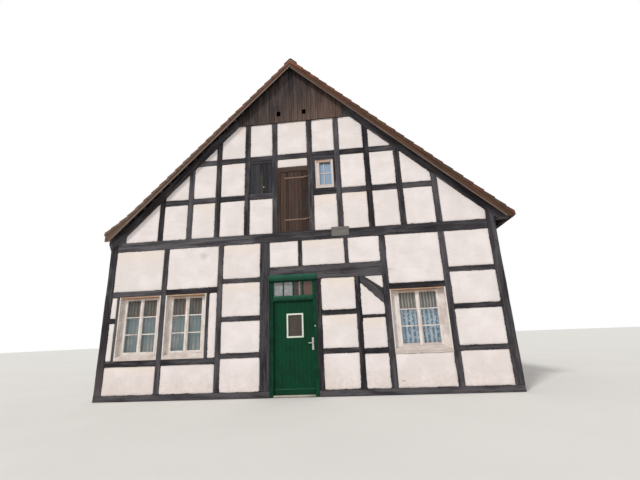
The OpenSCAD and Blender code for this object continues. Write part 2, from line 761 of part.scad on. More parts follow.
module front_window_frames() {
    color(PAINT) on_front() {
        window_frame(left_window_x, window_z, frame_w, frame_head_h, frame_foot_h);
        window_frame(middle_window_x, window_z, frame_w, frame_head_h, frame_foot_h);
        window_frame(bay(6), right_window_z, right_frame_w, frame_head_h, right_foot_h);
        block(bay(6), [right_sill_z, right_sill_z + right_sill_h - fit_gap], 0, sash_recess + frame_d);
    }
}
module front_window_sashes() {
    color(PAINT) on_front() {
        window_sashes(left_window_x, window_z, frame_w, frame_head_h, frame_foot_h);
        window_sashes(middle_window_x, window_z, frame_w, frame_head_h, frame_foot_h);
        window_sashes(bay(6), right_window_z, right_frame_w, frame_head_h, right_foot_h);
    }
}
module front_window_glass() {
    color(GLASS) on_front() {
        window_glass(left_window_x, window_z, frame_w, frame_head_h, frame_foot_h);
        window_glass(middle_window_x, window_z, frame_w, frame_head_h, frame_foot_h);
        window_glass(bay(6), right_window_z, right_frame_w, frame_head_h, right_foot_h);
        block(attic_inner_x, attic_inner_z, attic_bar_recess + bar_t, glass_t);
    }
}

// The attic's fixed window has four panes in one frame, over a sill board
attic_inner_x = attic_window_x + [attic_frame_w, -attic_frame_w];
attic_inner_z = attic_window_z + [attic_frame_w, -attic_frame_w];
module attic_window() {
    middle_x = (attic_inner_x[0] + attic_inner_x[1]) / 2;
    middle_z = (attic_inner_z[0] + attic_inner_z[1]) / 2;
    color(PAINT) on_front() {
        for (e = [[attic_window_x[0], attic_inner_x[0]], [attic_inner_x[1], attic_window_x[1]]])
            block(e, attic_window_z, infill_recess, infill_t);
        for (e = [[attic_window_z[0], attic_inner_z[0]], [attic_inner_z[1], attic_window_z[1]]])
            block(fitted(attic_inner_x), e, infill_recess, infill_t);
        block(around(middle_x, bar_w), fitted(attic_inner_z), attic_bar_recess, bar_t);
        for (e = [[attic_inner_x[0], middle_x - bar_w / 2], [middle_x + bar_w / 2, attic_inner_x[1]]])
            block(fitted(e), around(middle_z, bar_w), attic_bar_recess, bar_t);
        block(attic_window_x, [rail_1[1], attic_window_z[0] - fit_gap],
            lining_depth, lining_proud + infill_t);
    }
}

// The attic hatch hangs on two long straps that are cranked over its right jamb
hatch_leaf_x = hatch_x + [hatch_jamb_w, -hatch_jamb_w];
module attic_hatch() {
    color(BROWN) on_front() block(hatch_leaf_x, hatch_z, hatch_recess, hatch_t);
}
module attic_hatch_frame() {
    color(BROWN) on_front() {
        for (e = [[hatch_x[0], hatch_leaf_x[0]], [hatch_leaf_x[1], hatch_x[1]]])
            block(e, [beam_top, hatch_z[1]], 0, timber_d);
        block(hatch_x, [hatch_z[1] + fit_gap, hatch_z[1] + hatch_head_h], 0, timber_d);
        block(fitted(hatch_leaf_x), [beam_top, hatch_z[0]], 0, timber_d);
    }
}
shutter_x = gable_bay(shutter_bay);
shutter_z = [rail_1[1], rail_2[0]];
module attic_shutter() {
    color(BROWN) on_front() {
        block(shutter_x, shutter_z, hatch_recess, hatch_t);
        block(shutter_x, [shutter_z[1] - ledge_h, shutter_z[1]], hatch_recess - ledge_t, ledge_t - fit_gap);
    }
}
// Strap hinges and pins of the hatch, and the shutter's knob
attic_eye_r = attic_pin_r + pin_gap + strap_t;
attic_eye = [hatch_leaf_x[1] + strap_eye_over, -attic_eye_r];
attic_hinge_z = [hatch_z[1] - strap_inset[0], hatch_z[0] + strap_inset[1]];
module hatch_strap(z) {
    edge = hatch_leaf_x[1];
    start = edge - strap_len;
    translate([0, 0, z - strap_h / 2]) difference() {
        union() {
            linear_extrude(strap_h) polygon([[start, hatch_recess], [start, hatch_recess - strap_t],
                [edge - strap_h, hatch_recess - strap_t], [edge - strap_t, -strap_t],
                [attic_eye[0], -strap_t], [attic_eye[0], 0], [edge, 0],
                [edge - strap_h + 2 * strap_t, hatch_recess]]);
            translate(attic_eye) cylinder(r = attic_eye_r, h = strap_h);
        }
        translate([attic_eye[0], attic_eye[1], -strap_h])
            cylinder(r = attic_pin_r + pin_gap, h = 3 * strap_h);
    }
}
module hatch_pin(z) {
    arm_top = z - strap_h / 2 - pin_gap;
    translate([attic_eye[0], attic_eye[1], arm_top - strap_t])
        cylinder(r = attic_pin_r, h = strap_t + pin_gap + strap_h + attic_pin_rise);
    block(around(attic_eye[0], 2 * attic_pin_r), [arm_top - strap_t, arm_top], attic_eye[1], attic_eye_r);
}
module shutter_knob() {
    translate([shutter_x[0] + knob_x, hatch_recess, shutter_z[0] + knob_z])
        rotate([90, 0, 0]) rotate_extrude() polygon([[0, 0], [knob_r / 2, 0], [knob_r / 2, knob_r],
            [knob_r, 1.5 * knob_r], [0.8 * knob_r, 2.2 * knob_r], [0, 2.4 * knob_r]]);
}
module attic_irons() {
    color(IRON) on_front() {
        for (z = attic_hinge_z) {
            hatch_strap(z);
            hatch_pin(z);
        }
        shutter_knob();
    }
}

// Short curtains hang from rods just inside the three front windows: one behind the top panes
// and one behind the lower panes of each
curtain_windows = [left_window_x, middle_window_x, bay(6)];
curtain_tops = [window_z[1], window_z[1], right_window_z[1]];
curtain_feet = [window_z[0] + frame_foot_h, window_z[0] + frame_foot_h, right_window_z[0] + right_foot_h];
function lower_rod_z(i) = pane_z([curtain_feet[i], curtain_tops[i] - frame_head_h])[panes - 2];
module curtain_rod(x, z) {
    translate([x[0], timber_d + rod_r, z]) rotate([0, 90, 0]) cylinder(r = rod_r, h = x[1] - x[0]);
}
module curtain_rods() {
    color(IRON) on_front() for (i = [0 : 2]) {
        curtain_rod(curtain_windows[i], curtain_tops[i]);
        curtain_rod(curtain_windows[i] + [-rod_over, rod_over], lower_rod_z(i));
    }
}
module window_curtains() {
    under_rod = rod_r + pin_gap;
    color(CLOTH) on_front() for (i = [0 : 2]) {
        x = curtain_windows[i] + [frame_w / 2, -frame_w / 2];
        for (z = [[lower_rod_z(i) + under_rod, curtain_tops[i] - under_rod],
                [curtain_feet[i], lower_rod_z(i) - under_rod]])
            block(x, z, timber_d + curtain_gap, curtain_t);
    }
}

// Door frame with a rebate for the leaf, a transom rail and a light above it
frame_back = door_frame_recess + door_frame_d;
leaf_front = frame_back - leaf_t;
lip_back = leaf_front - door_gap;
door_inner = [door_x[0] + door_jamb_w, door_x[1] - door_jamb_w];
transom_top = transom_z + transom_h;
light_z = [transom_top, lintel_z - door_head_h];
light_depth = door_frame_recess + door_frame_d / 2;
module jamb_outline() {
    polygon([[0, door_frame_recess], [door_jamb_w, door_frame_recess], [door_jamb_w, lip_back],
        [door_jamb_w - door_rebate, lip_back], [door_jamb_w - door_rebate, frame_back], [0, frame_back]]);
}
module door_jambs() {
    color(GREEN) on_front() {
        translate([door_x[0], 0, 0]) linear_extrude(lintel_z) jamb_outline();
        translate([door_x[1], 0, 0]) mirror([1, 0, 0]) linear_extrude(lintel_z) jamb_outline();
    }
}
// Transom rail, bars of the light, head and capping board
module door_head() {
    light_bars = 3;
    bar_step = (door_inner[1] - door_inner[0]) / (light_bars + 1);
    cap_z = lintel_z - cap_over;
    color(GREEN) on_front() {
        translate([door_inner[0], 0, 0]) rotate([90, 0, 90]) linear_extrude(door_inner[1] - door_inner[0])
            polygon([[door_frame_recess, transom_z], [lip_back, transom_z],
                [lip_back, transom_z + door_rebate], [frame_back, transom_z + door_rebate],
                [frame_back, transom_top], [door_frame_recess, transom_top]]);
        block(door_inner, [light_z[1], lintel_z], door_frame_recess, door_frame_d);
        for (i = [1 : light_bars])
            block(around(door_inner[0] + i * bar_step, bar_w), fitted(light_z), light_depth - bar_t, bar_t);
        block(door_x + [-cap_over, cap_over], from(cap_z, cap_h), -cap_t, cap_t);
        block(door_inner, [cap_z, lintel_z], fit_gap, door_frame_recess - 2 * fit_gap);
    }
}
module transom_glass() {
    color(GLASS) on_front() block(door_inner, light_z, light_depth, glass_t);
}

// Side and back walls repeat the front's framing in even bays
function even_posts(length, end_w, bays) =
    [for (i = [1 : bays - 1])
        round(-length / 2 + end_w + (length - 2 * end_w + side_post_w) * i / bays - side_post_w)];
function even_bays(length, end_w, bays) = let (p = even_posts(length, end_w, bays)) [
    for (i = [0 : bays - 1]) [i == 0 ? -length / 2 + end_w : p[i - 1] + side_post_w,
        i == bays - 1 ? length / 2 - end_w : p[i]]
];
function window_in(x) = from(round((x[0] + x[1] - side_window_w) / 2), side_window_w);
function has_window(i, bays) = i == 1 || i == bays - 2;
function window_spans(length, end_w, bays) = let (all_bays = even_bays(length, end_w, bays))
    [for (i = [0 : bays - 1]) if (has_window(i, bays)) window_in(all_bays[i])];
module even_posts(length, end_w, bays, top) {
    for (x = even_posts(length, end_w, bays)) block(from(x, side_post_w), [sill_h, top]);
    for (x = window_spans(length, end_w, bays)) {
        block([x[0] - narrow_stud_w, x[0]], window_z);
        block([x[1], x[1] + narrow_stud_w], window_z);
    }
}
module even_rails(length, end_w, bays) {
    all_bays = even_bays(length, end_w, bays);
    for (i = [0 : bays - 1])
        bay_rails(all_bays[i], has_window(i, bays) ? window_rails : plain_rails(side_rail_z));
}
module even_infill(length, end_w, bays, top) {
    all_bays = even_bays(length, end_w, bays);
    for (i = [0 : bays - 1]) {
        if (has_window(i, bays)) {
            opening = window_in(all_bays[i]);
            panel(all_bays[i], [sill_h, window_sill_z]);
            panel(all_bays[i], [window_head_z + window_rail_h, top]);
            panel([all_bays[i][0], opening[0] - narrow_stud_w], window_z);
            panel([opening[1] + narrow_stud_w, all_bays[i][1]], window_z);
        } else {
            bay_panels(all_bays[i], plain_rails(side_rail_z), [sill_h, top]);
        }
    }
}
// Frames, sashes or glass of the windows in an even wall
module even_windows(piece, length, end_w, bays) {
    for (x = window_spans(length, end_w, bays)) {
        if (piece == "frame") window_frame(x, window_z, frame_w, frame_head_h, frame_foot_h);
        if (piece == "sashes") window_sashes(x, window_z, frame_w, frame_head_h, frame_foot_h);
        if (piece == "glass") window_glass(x, window_z, frame_w, frame_head_h, frame_foot_h);
    }
}
module rear_windows(piece) {
    on_left() even_windows(piece, house_len, timber_d, side_bays);
    on_right() even_windows(piece, house_len, timber_d, side_bays);
    on_back() even_windows(piece, house_w, corner_post_w, back_bays);
}
module rear_window_frames() { color(PAINT) rear_windows("frame"); }
module rear_window_sashes() { color(PAINT) rear_windows("sashes"); }
module rear_window_glass() { color(GLASS) rear_windows("glass"); }

// Wall plates are bevelled on top, so that the rafters lie flat on them
function plate_low(x) = round(roof_z(x) - plate_h);
plate_low_left = plate_low(-half_w);
plate_low_right = plate_low(half_w);
module wall_plates() {
    inner_left = -half_w + timber_d;
    inner_right = half_w - timber_d;
    between = house_len - 2 * timber_d;
    color(TIMBER) on_front() {
        plate([[-half_w, plate_low_left], [inner_left, plate_low_left],
            [inner_left, roof_z(inner_left, -fit_gap)], [-half_w, roof_z(-half_w, -fit_gap)]],
            timber_d, between);
        plate([[inner_right, plate_low_right], [half_w, plate_low_right],
            [half_w, roof_z(half_w, -fit_gap)], [inner_right, roof_z(inner_right, -fit_gap)]],
            timber_d, between);
    }
}
module side_posts() {
    color(TIMBER) {
        on_left() even_posts(house_len, timber_d, side_bays, plate_low_left);
        on_right() even_posts(house_len, timber_d, side_bays, plate_low_right);
    }
}
module side_rails() {
    color(TIMBER) {
        on_left() even_rails(house_len, timber_d, side_bays);
        on_right() even_rails(house_len, timber_d, side_bays);
    }
}
module side_wall_infill() {
    color(PLASTER) {
        on_left() even_infill(house_len, timber_d, side_bays, plate_low_left);
        on_right() even_infill(house_len, timber_d, side_bays, plate_low_right);
    }
}

module back_posts() {
    color(TIMBER) on_back() {
        corner_posts();
        even_posts(house_w, corner_post_w, back_bays, beam_z);
    }
}
module back_rails() {
    color(TIMBER) on_back() {
        even_rails(house_w, corner_post_w, back_bays);
        storey_beam();
    }
}
module back_wall_infill() {
    color(PLASTER) on_back() even_infill(house_w, corner_post_w, back_bays, beam_z);
}
module back_gable_studs() { color(TIMBER) on_back() gable_studs(); }
module back_gable_rails() { color(TIMBER) on_back() gable_rails(); }
module back_gable_infill() { color(PLASTER) on_back() gable_infill([-1]); }

// Tie beams lie between the wall plates and carry the attic floor
deck_low = beam_top - deck_t;
module tie_beams() {
    color(TIMBER) for (y = even_posts(house_len, timber_d, side_bays))
        translate([-half_w + timber_d, y + (side_post_w - tie_w) / 2, deck_low - tie_h])
            cube([house_w - 2 * timber_d, tie_w, tie_h]);
}
module attic_floor() {
    left = max(-half_w + timber_d, ridge_x - (ridge_low - beam_top) / slope_left + deck_gap);
    color(WEATHERED) translate([left, -half_len + timber_d, deck_low])
        cube([half_w - timber_d - left, house_len - 2 * timber_d, deck_t]);
}

// Rafters in pairs that meet at the ridge; the first and last lie in the gable walls
rafter_gaps = ceil((house_len - timber_d) / rafter_step);
rafter_left_x = eave_left_x + tile_over_rafter;
rafter_right_x = eave_right_x - tile_over_rafter;
function slope_outline(x, low, high) =
    let (a = [ridge_x, roof_z(ridge_x, low)], b = [x, roof_z(x, low)])
    let (c = [x, roof_z(x, high)], d = [ridge_x, roof_z(ridge_x, high)])
        x < ridge_x ? [a, d, c, b] : [a, b, c, d];
// Outline of what lies over the rafters between two places; its underside may stay straight
function layer(span, low, high, straight = false) =
    let (a = min(span), b = max(span), p = a < kick_x && kick_x < b ? [a, kick_x, b] : [a, b])
        concat(
            [for (x = straight ? [a, b] : p) [x, roof_z(x, low) + (straight ? 0 : kick(x))]],
            [for (i = [len(p) - 1 : -1 : 0]) [p[i], roof_z(p[i], high) + kick(p[i])]]);
inner_rafters = [for (i = [1 : rafter_gaps - 1]) -half_len + (timber_d - rafter_w) / 2
    + (house_len - timber_d) * i / rafter_gaps];
// Outside the walls the rafters' feet are cut back to the height of the storey beam's top
function over_tail_cut(x) =
    let (wall_x = x < ridge_x ? -half_w : half_w, wall_z = min(roof_z(wall_x), beam_top))
        function(p) p[1] - wall_z - (beam_top - wall_z) * (p[0] - wall_x) / (x - wall_x);
module rafter_row(outline) {
    for (y = [-half_len, half_len - timber_d]) translate([0, y, 0]) plate(outline, 0, timber_d);
    for (y = inner_rafters) translate([0, y, 0]) plate(outline, 0, rafter_w);
}
module slope_rafters(x) { rafter_row(clip(slope_outline(x, 0, rafter_rise), over_tail_cut(x))); }
module rafters_left() {
    tip_x = kick_x - kick_run * kick_tip_t / kick_rise;
    color(TIMBER) {
        slope_rafters(rafter_left_x);
        rafter_row(layer([rafter_left_x, tip_x], rafter_rise + fit_gap, rafter_rise, true));
    }
}
module rafters_right() { color(TIMBER) slope_rafters(rafter_right_x); }
module collar_beams() {
    color(TIMBER) for (y = inner_rafters) translate([0, y, 0])
        plate_under_rafters(rect([-half_w, half_w], [rail_2[0], rail_2[0] + collar_h]), 0, rafter_w);
}

batten_len = house_len + 2 * (verge_out - verge_board_t);
module batten(x) {
    translate([0, -batten_len / 2, 0])
        plate(layer([x, x + batten_w], batten_low + fit_gap, tile_low - fit_gap), 0, batten_len);
}
module roof_battens() {
    left_run = ridge_x - rafter_left_x - batten_w;
    right_run = rafter_right_x - ridge_x - batten_w;
    left_count = ceil(left_run / batten_step);
    right_count = ceil(right_run / batten_step);
    color(WEATHERED) {
        for (i = [0 : left_count])
            batten(rafter_left_x + (left_run - batten_w) * i / left_count);
        for (i = [0 : right_count])
            batten(rafter_right_x - batten_w - (right_run - batten_w) * i / right_count);
    }
}

roof_len = house_len + 2 * verge_out;
module roof_slab(x) {
    translate([0, -roof_len / 2, 0]) plate(layer([ridge_x, x], tile_low, tile_top), 0, roof_len);
}
module roof_tiles_left() { color(CLAY) roof_slab(eave_left_x); }
module roof_tiles_right() { color(CLAY) roof_slab(eave_right_x); }

// Ridge tiles are bedded on both slopes, in halves that meet over the ridge
module ridge_tiles() {
    top = roof_z(ridge_x, tile_top);
    middle_z = top + ridge_tile_rise - ridge_tile_r;
    reach = 2 * ridge_tile_r;
    color(CLAY) translate([0, roof_len / 2, 0]) rotate([90, 0, 0]) linear_extrude(roof_len) difference() {
        translate([ridge_x, middle_z]) circle(r = ridge_tile_r);
        polygon([[ridge_x, top], [ridge_x + reach, roof_z(ridge_x + reach, tile_top)],
            [ridge_x + reach, middle_z - reach], [ridge_x - reach, middle_z - reach],
            [ridge_x - reach, roof_z(ridge_x - reach, tile_top)]]);
        translate([ridge_x - fit_gap / 2, middle_z]) square([fit_gap, reach]);
    }
}

// Verge boards close the battens' ends, and are cut level at the eave
verge_top = tile_low - fit_gap;
verge_places = [-half_len - verge_out, half_len + verge_out - verge_board_t];
module verge_boards(x, rise) {
    tip_z = roof_z(x, verge_top - rise * (1 - verge_cut));
    outline = clip(layer([ridge_x, x], verge_top - rise, verge_top, true), function(p) p[1] - tip_z);
    color(WEATHERED) for (y = verge_places) translate([0, y, 0]) plate(outline, 0, verge_board_t);
}
module verge_boards_left() { verge_boards(rafter_left_x, verge_left_rise); }
module verge_boards_right() { verge_boards(rafter_right_x, verge_right_rise); }

// Door leaf and what it carries
leaf_x = [door_inner[0] - door_rebate + door_gap, door_inner[1] + door_rebate - door_free_gap];
leaf_z = [floor_t + door_floor_gap, transom_z + door_rebate - door_gap];
hinge_x = leaf_x[0] - door_gap / 2;
hinge_y = frame_back + pin_out;
leaf_glass_span = around(leaf_x[0] + leaf_glass_x, leaf_glass_w);
leaf_glass_rise = from(leaf_glass_z, leaf_glass_h);
lever_x = leaf_x[1] - lever_inset;
// The leaf's boards are marked by grooves down its outer face
leaf_grooves = [for (i = [1 : leaf_boards - 1]) leaf_x[0] + (leaf_x[1] - leaf_x[0]) * i / leaf_boards];
module leaf_outline() {
    polygon(concat(
        [[leaf_x[0], frame_back], [leaf_x[0], leaf_front]],
        [for (x = leaf_grooves) each [[x - groove_w / 2, leaf_front], [x, leaf_front + groove_d],
            [x + groove_w / 2, leaf_front]]],
        [[leaf_x[1], leaf_front], [leaf_x[1], frame_back]]));
}
module door_leaf() {
    color(GREEN) on_front() difference() {
        translate([0, 0, leaf_z[0]]) linear_extrude(leaf_z[1] - leaf_z[0]) leaf_outline();
        block(leaf_glass_span, leaf_glass_rise, leaf_front - leaf_t, 3 * leaf_t);
        translate([lever_x, frame_back + leaf_t, lever_z]) rotate([90, 0, 0])
            cylinder(r = spindle_r + bore_gap, h = 3 * leaf_t);
    }
}
// The weather board's top slopes outwards
module door_weather_board() {
    x = door_inner + [weather_board_gap, -weather_board_gap];
    color(GREEN) on_front() translate([x[0], 0, leaf_z[0]]) rotate([90, 0, 90]) linear_extrude(x[1] - x[0])
        polygon([[leaf_front - weather_board_t, 0], [leaf_front, 0], [leaf_front, weather_board_h],
            [leaf_front - weather_board_t, weather_board_h - weather_board_t]]);
}
module ring(x, z, w, depth, t) {
    for (e = [[x[0] - w, x[0]], [x[1], x[1] + w]]) block(e, z + [-w, w], depth, t);
    for (e = [[z[0] - w, z[0]], [z[1], z[1] + w]]) block(fitted(x), e, depth, t);
}
module door_window_beading() {
    color(PAINT) on_front() {
        ring(leaf_glass_span, leaf_glass_rise, bead_w, leaf_front - bead_t, bead_t);
        ring(leaf_glass_span, leaf_glass_rise, bead_w, frame_back, bead_t);
    }
}
module door_window_glass() {
    color(GLASS) on_front() block(leaf_glass_span, leaf_glass_rise, leaf_front + leaf_t / 2, glass_t);
}
eye_r = pin_r + pin_gap + eye_wall;
module door_hinge_straps() {
    color(IRON) on_front() for (z = hinge_z) difference() {
        union() {
            translate([hinge_x, hinge_y, z - eye_h / 2]) cylinder(r = eye_r, h = eye_h);
            block(from(hinge_x, leaf_strap_len), around(z, eye_h), frame_back, leaf_strap_t);
        }
        translate([hinge_x, hinge_y, z - eye_h]) cylinder(r = pin_r + pin_gap, h = 2 * eye_h);
    }
}
// Each pintle is an iron on the jamb's inner face that carries one pin
module hinge_pintles() {
    plate_x = [door_x[0] + pintle_inset, door_x[0] + door_jamb_w - door_rebate];
    color(IRON) on_front() for (z = hinge_z) {
        arm_top = z - eye_h / 2 - pin_gap;
        translate([hinge_x, hinge_y, arm_top - pintle_arm_h])
            cylinder(r = pin_r, h = pintle_arm_h + pin_gap + eye_h);
        translate([hinge_x, hinge_y, arm_top - pintle_arm_h])
            cylinder(r = pin_r + pintle_collar, h = pintle_arm_h);
        block([plate_x[0], hinge_x], [arm_top - pintle_arm_h, arm_top], frame_back, pin_out + pin_r);
        block(plate_x, [arm_top - pintle_plate_h, arm_top], frame_back, pintle_plate_t);
    }
}
module door_lock_plates() {
    plate_z = from(lever_z - lock_plate_drop, lock_plate_h);
    color(IRON) on_front() for (y = [leaf_front - lock_plate_t, frame_back]) difference() {
        block(around(lever_x, lock_plate_w), plate_z, y, lock_plate_t);
        translate([lever_x, y + 2 * lock_plate_t, lever_z]) rotate([90, 0, 0])
            cylinder(r = neck_r + pin_gap, h = 3 * lock_plate_t);
    }
}
// Outer and inner lever on one spindle, both pointing to the hinges
module lever_grip(y) {
    block([lever_x - lever_len + grip_h / 2, lever_x], around(lever_z, grip_h), y, grip_t);
    for (x = [lever_x, lever_x - lever_len + grip_h / 2])
        translate([x, y + grip_t, lever_z]) rotate([90, 0, 0]) cylinder(r = grip_h / 2, h = grip_t);
}
// A round bar from one depth to another, at the spindle
module lever_bar(r, y) {
    translate([lever_x, y[1], lever_z]) rotate([90, 0, 0]) cylinder(r = r, h = y[1] - y[0]);
}
module door_lever() {
    outer_y = leaf_front - grip_out;
    inner_y = frame_back + grip_out - grip_t;
    into = grip_t / 2;
    color(IRON) on_front() union() {
        lever_grip(outer_y);
        lever_grip(inner_y);
        lever_bar(spindle_r, [outer_y + into, inner_y + into]);
        lever_bar(neck_r, [outer_y + into, leaf_front - pin_gap]);
        lever_bar(neck_r, [frame_back + pin_gap, inner_y + into]);
    }
}

ground_floor();
cross_sills();
side_sills();
door_threshold();
front_posts();
front_rails();
door_lintel();
lintel_brace();
front_storey_beam();
beam_repair_block();
front_wall_infill();
front_gable_studs();
front_gable_rails();
front_gable_infill();
gable_boarding();
front_window_frames();
front_window_sashes();
front_window_glass();
attic_window();
attic_hatch();
attic_hatch_frame();
attic_shutter();
attic_irons();
curtain_rods();
window_curtains();
door_jambs();
door_head();
transom_glass();
side_posts();
side_rails();
side_wall_infill();
wall_plates();
back_posts();
back_rails();
back_wall_infill();
back_gable_studs();
back_gable_rails();
back_gable_infill();
rear_window_frames();
rear_window_sashes();
rear_window_glass();
tie_beams();
attic_floor();
rafters_left();
rafters_right();
collar_beams();
roof_battens();
roof_tiles_left();
roof_tiles_right();
ridge_tiles();
verge_boards_left();
verge_boards_right();
hinge_pintles();
door_leaf();
door_weather_board();
door_window_beading();
door_window_glass();
door_hinge_straps();
door_lock_plates();
door_lever();
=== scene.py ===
"""Half timbered house: weathered timbers, limewashed panels, pantiles, joinery and curtains
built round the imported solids, with a plain stage, the lights and the camera. Metres, +Z up."""

import math
import random

import bmesh
import bpy
from bpy.props import FloatProperty, FloatVectorProperty, IntProperty, PointerProperty
from bpy.types import Operator, Panel, PropertyGroup
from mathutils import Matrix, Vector, noise


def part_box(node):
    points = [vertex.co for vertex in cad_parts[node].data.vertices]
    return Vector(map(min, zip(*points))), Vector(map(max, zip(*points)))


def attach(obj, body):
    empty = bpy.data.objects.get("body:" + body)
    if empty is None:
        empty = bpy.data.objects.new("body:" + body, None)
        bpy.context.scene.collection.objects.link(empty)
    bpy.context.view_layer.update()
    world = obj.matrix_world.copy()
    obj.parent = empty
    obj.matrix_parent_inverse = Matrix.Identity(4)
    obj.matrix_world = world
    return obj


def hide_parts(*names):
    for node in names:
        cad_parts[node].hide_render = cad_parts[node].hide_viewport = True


bl_info = {
    "name": "Half Timbered House",
    "version": (1, 0, 0),
    "blender": (4, 5, 0),
    "location": "3D View > Sidebar > House",
    "description": "Dresses the house's solids with timber, plaster, tiles, joinery and cloth",
    "category": "Object",
}

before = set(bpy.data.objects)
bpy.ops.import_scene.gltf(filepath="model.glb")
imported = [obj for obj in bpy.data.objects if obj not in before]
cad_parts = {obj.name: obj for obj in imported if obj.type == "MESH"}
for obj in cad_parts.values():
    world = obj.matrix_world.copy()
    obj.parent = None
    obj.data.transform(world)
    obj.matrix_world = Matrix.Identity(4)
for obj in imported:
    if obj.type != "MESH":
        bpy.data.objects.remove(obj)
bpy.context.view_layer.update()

FRONT, BACK = Vector((0, -1, 0)), Vector((0, 1, 0))
LEFT, RIGHT, UP = Vector((-1, 0, 0)), Vector((1, 0, 0)), Vector((0, 0, 1))
FRONT_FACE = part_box("cross_sills")[0].y
RIDGE_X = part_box("roof_tiles_left")[1].x
# How far the verge boards' faces stand back, behind the side plates of the verge tiles
BOARD_BACK = 0.018
# How far the tiles' lowest edge stays inside the slabs' reach, for the twist of single tiles
INSIDE = 0.004
# Edges that turn by more than this angle are eased
SHARP = math.radians(25)
# Steps of the wave across a pantile, and how far it reaches past its width on each side, as a share
TILE_STEPS = 8
TILE_SIDE = 0.05


# Colours and finishes

def rgb(red, green, blue):
    """A colour of the screen, 0 to 255, as the shader's linear values."""
    return tuple((c / 255 / 12.92) if c <= 10 else ((c / 255 + 0.055) / 1.055) ** 2.4
                 for c in (red, green, blue))


class Finish:
    """Builds one material from nodes; every step returns the socket that it made."""

    def __init__(self, name, **constants):
        self.material = bpy.data.materials.new(name)
        self.material.use_nodes = True
        self.tree = self.material.node_tree
        self.shader = self.tree.nodes["Principled BSDF"]
        for socket, value in constants.items():
            self.put(self.shader.inputs[socket.replace("_", " ")], value)

    def put(self, socket, value):
        if isinstance(value, bpy.types.NodeSocket):
            self.tree.links.new(value, socket)
        elif socket.type == "RGBA" and len(value) == 3:
            socket.default_value = (*value, 1)
        else:
            socket.default_value = value

    def step(self, kind, inputs, out=0, **settings):
        node = self.tree.nodes.new("ShaderNode" + kind)
        for key, value in settings.items():
            setattr(node, key, value)
        for key, value in inputs.items():
            self.put(node.inputs[key], value)
        return node.outputs[out]

    def attribute(self, name, out="Fac"):
        return self.step("Attribute", {}, out, attribute_name=name)

    def place(self):
        """Where a point is, in the object's own metres."""
        return self.step("TexCoord", {}, "Object")

    def part(self, vector, axis):
        return self.step("SeparateXYZ", {"Vector": vector}, axis)

    def stretch(self, vector, x, y, z):
        return self.step("Mapping", {"Vector": vector, "Scale": (x, y, z)})

    def noise(self, vector, scale=1.0, detail=4.0, roughness=0.55, distortion=0.0):
        return self.step("TexNoise", {"Vector": vector, "Scale": scale, "Detail": detail,
                                      "Roughness": roughness, "Distortion": distortion}, "Fac")

    def streaks(self, grain, along, across, detail=4.0, roughness=0.6, distortion=0.0, scale=1.0):
        """Noise drawn out along the grain."""
        drawn = self.stretch(grain, along, across, across)
        return self.noise(drawn, scale, detail, roughness, distortion)

    def math(self, operation, a, b=0.0, clamp=False):
        return self.step("Math", {0: a, 1: b}, operation=operation, use_clamp=clamp)

    def sum(self, a, b):
        return self.math("ADD", a, b)

    def times(self, a, b, clamp=False):
        return self.math("MULTIPLY", a, b, clamp)

    def between(self, value, low, high, to_low=0.0, to_high=1.0):
        """A soft step from to_low to to_high, as a value rises from low to high."""
        return self.step("MapRange", {"Value": value, "From Min": low, "From Max": high, "To Min": to_low,
                                      "To Max": to_high}, interpolation_type="SMOOTHSTEP")

    def mix(self, factor, a, b):
        return self.step("Mix", {0: factor, 6: a, 7: b}, 2, data_type="RGBA")

    def over(self, base, colour, share, amount, clamp=False):
        """A colour laid over another: a share of it at each point, by an amount."""
        return self.mix(self.times(share, amount, clamp), base, colour)

    def bump(self, height, distance, strength=1.0):
        normal = self.step("Bump", {"Height": height, "Distance": distance, "Strength": strength})
        self.put(self.shader.inputs["Normal"], normal)

    def colour(self, value):
        self.put(self.shader.inputs["Base Color"], value)

    def rough(self, value):
        self.put(self.shader.inputs["Roughness"], value)

    def old_glass(self, place):
        """The slightly uneven face of old glass, with what lies behind it blended in."""
        self.bump(self.noise(place, 3.2, 2, 0.5), 0.004, 0.35)
        self.material.surface_render_method = "BLENDED"


def shaded(colour, share):
    """A colour made darker or lighter by a share, no lighter than white."""
    return tuple(min(1.0, c * share) for c in colour)


def timber_finish(name, dark, light, grey, wear=0.5, brown=None):
    """Old oak: streaks along the grain, drying cracks, greyed and browner places."""
    f = Finish(name, Specular_IOR_Level=0.2)
    grain = f.attribute("grain", "Vector")
    tone, worn = f.attribute("tone"), f.attribute("worn")
    fibres = f.streaks(grain, 2.5, 70, 6, 0.7)
    bands = f.streaks(grain, 1.1, 26)
    broad = f.streaks(grain, 1.1, 7, distortion=0.4)
    streaks = f.streaks(grain, 0.7, 22, 3, 0.5)
    crack_line = f.math("ABSOLUTE", f.sum(streaks, -0.5))
    cracks = f.times(f.between(crack_line, 0.0, 0.018, 1, 0), f.between(broad, 0.42, 0.6))
    lit = f.sum(f.times(f.sum(fibres, bands), 0.5), f.times(tone, 0.14))
    wood = f.mix(f.between(lit, 0.42, 0.72), dark, light)
    wood = f.over(wood, brown or light, f.attribute("brown"), f.between(streaks, 0.35, 0.6, 0.5, 1.0))
    greyed = f.times(f.between(f.sum(broad, f.times(tone, 0.18)), 0.5, 0.78), wear)
    greyed = f.math("MAXIMUM", greyed, f.times(worn, f.between(bands, 0.36, 0.62, 0.2, 1.0)))
    wood = f.mix(greyed, wood, grey)
    f.colour(f.over(wood, shaded(dark, 0.2), cracks, 0.8))
    f.rough(f.between(fibres, 0.3, 0.7, 0.75, 0.95))
    f.bump(f.math("SUBTRACT", f.times(fibres, 0.5), cracks), 0.004, 0.8)
    return f.material


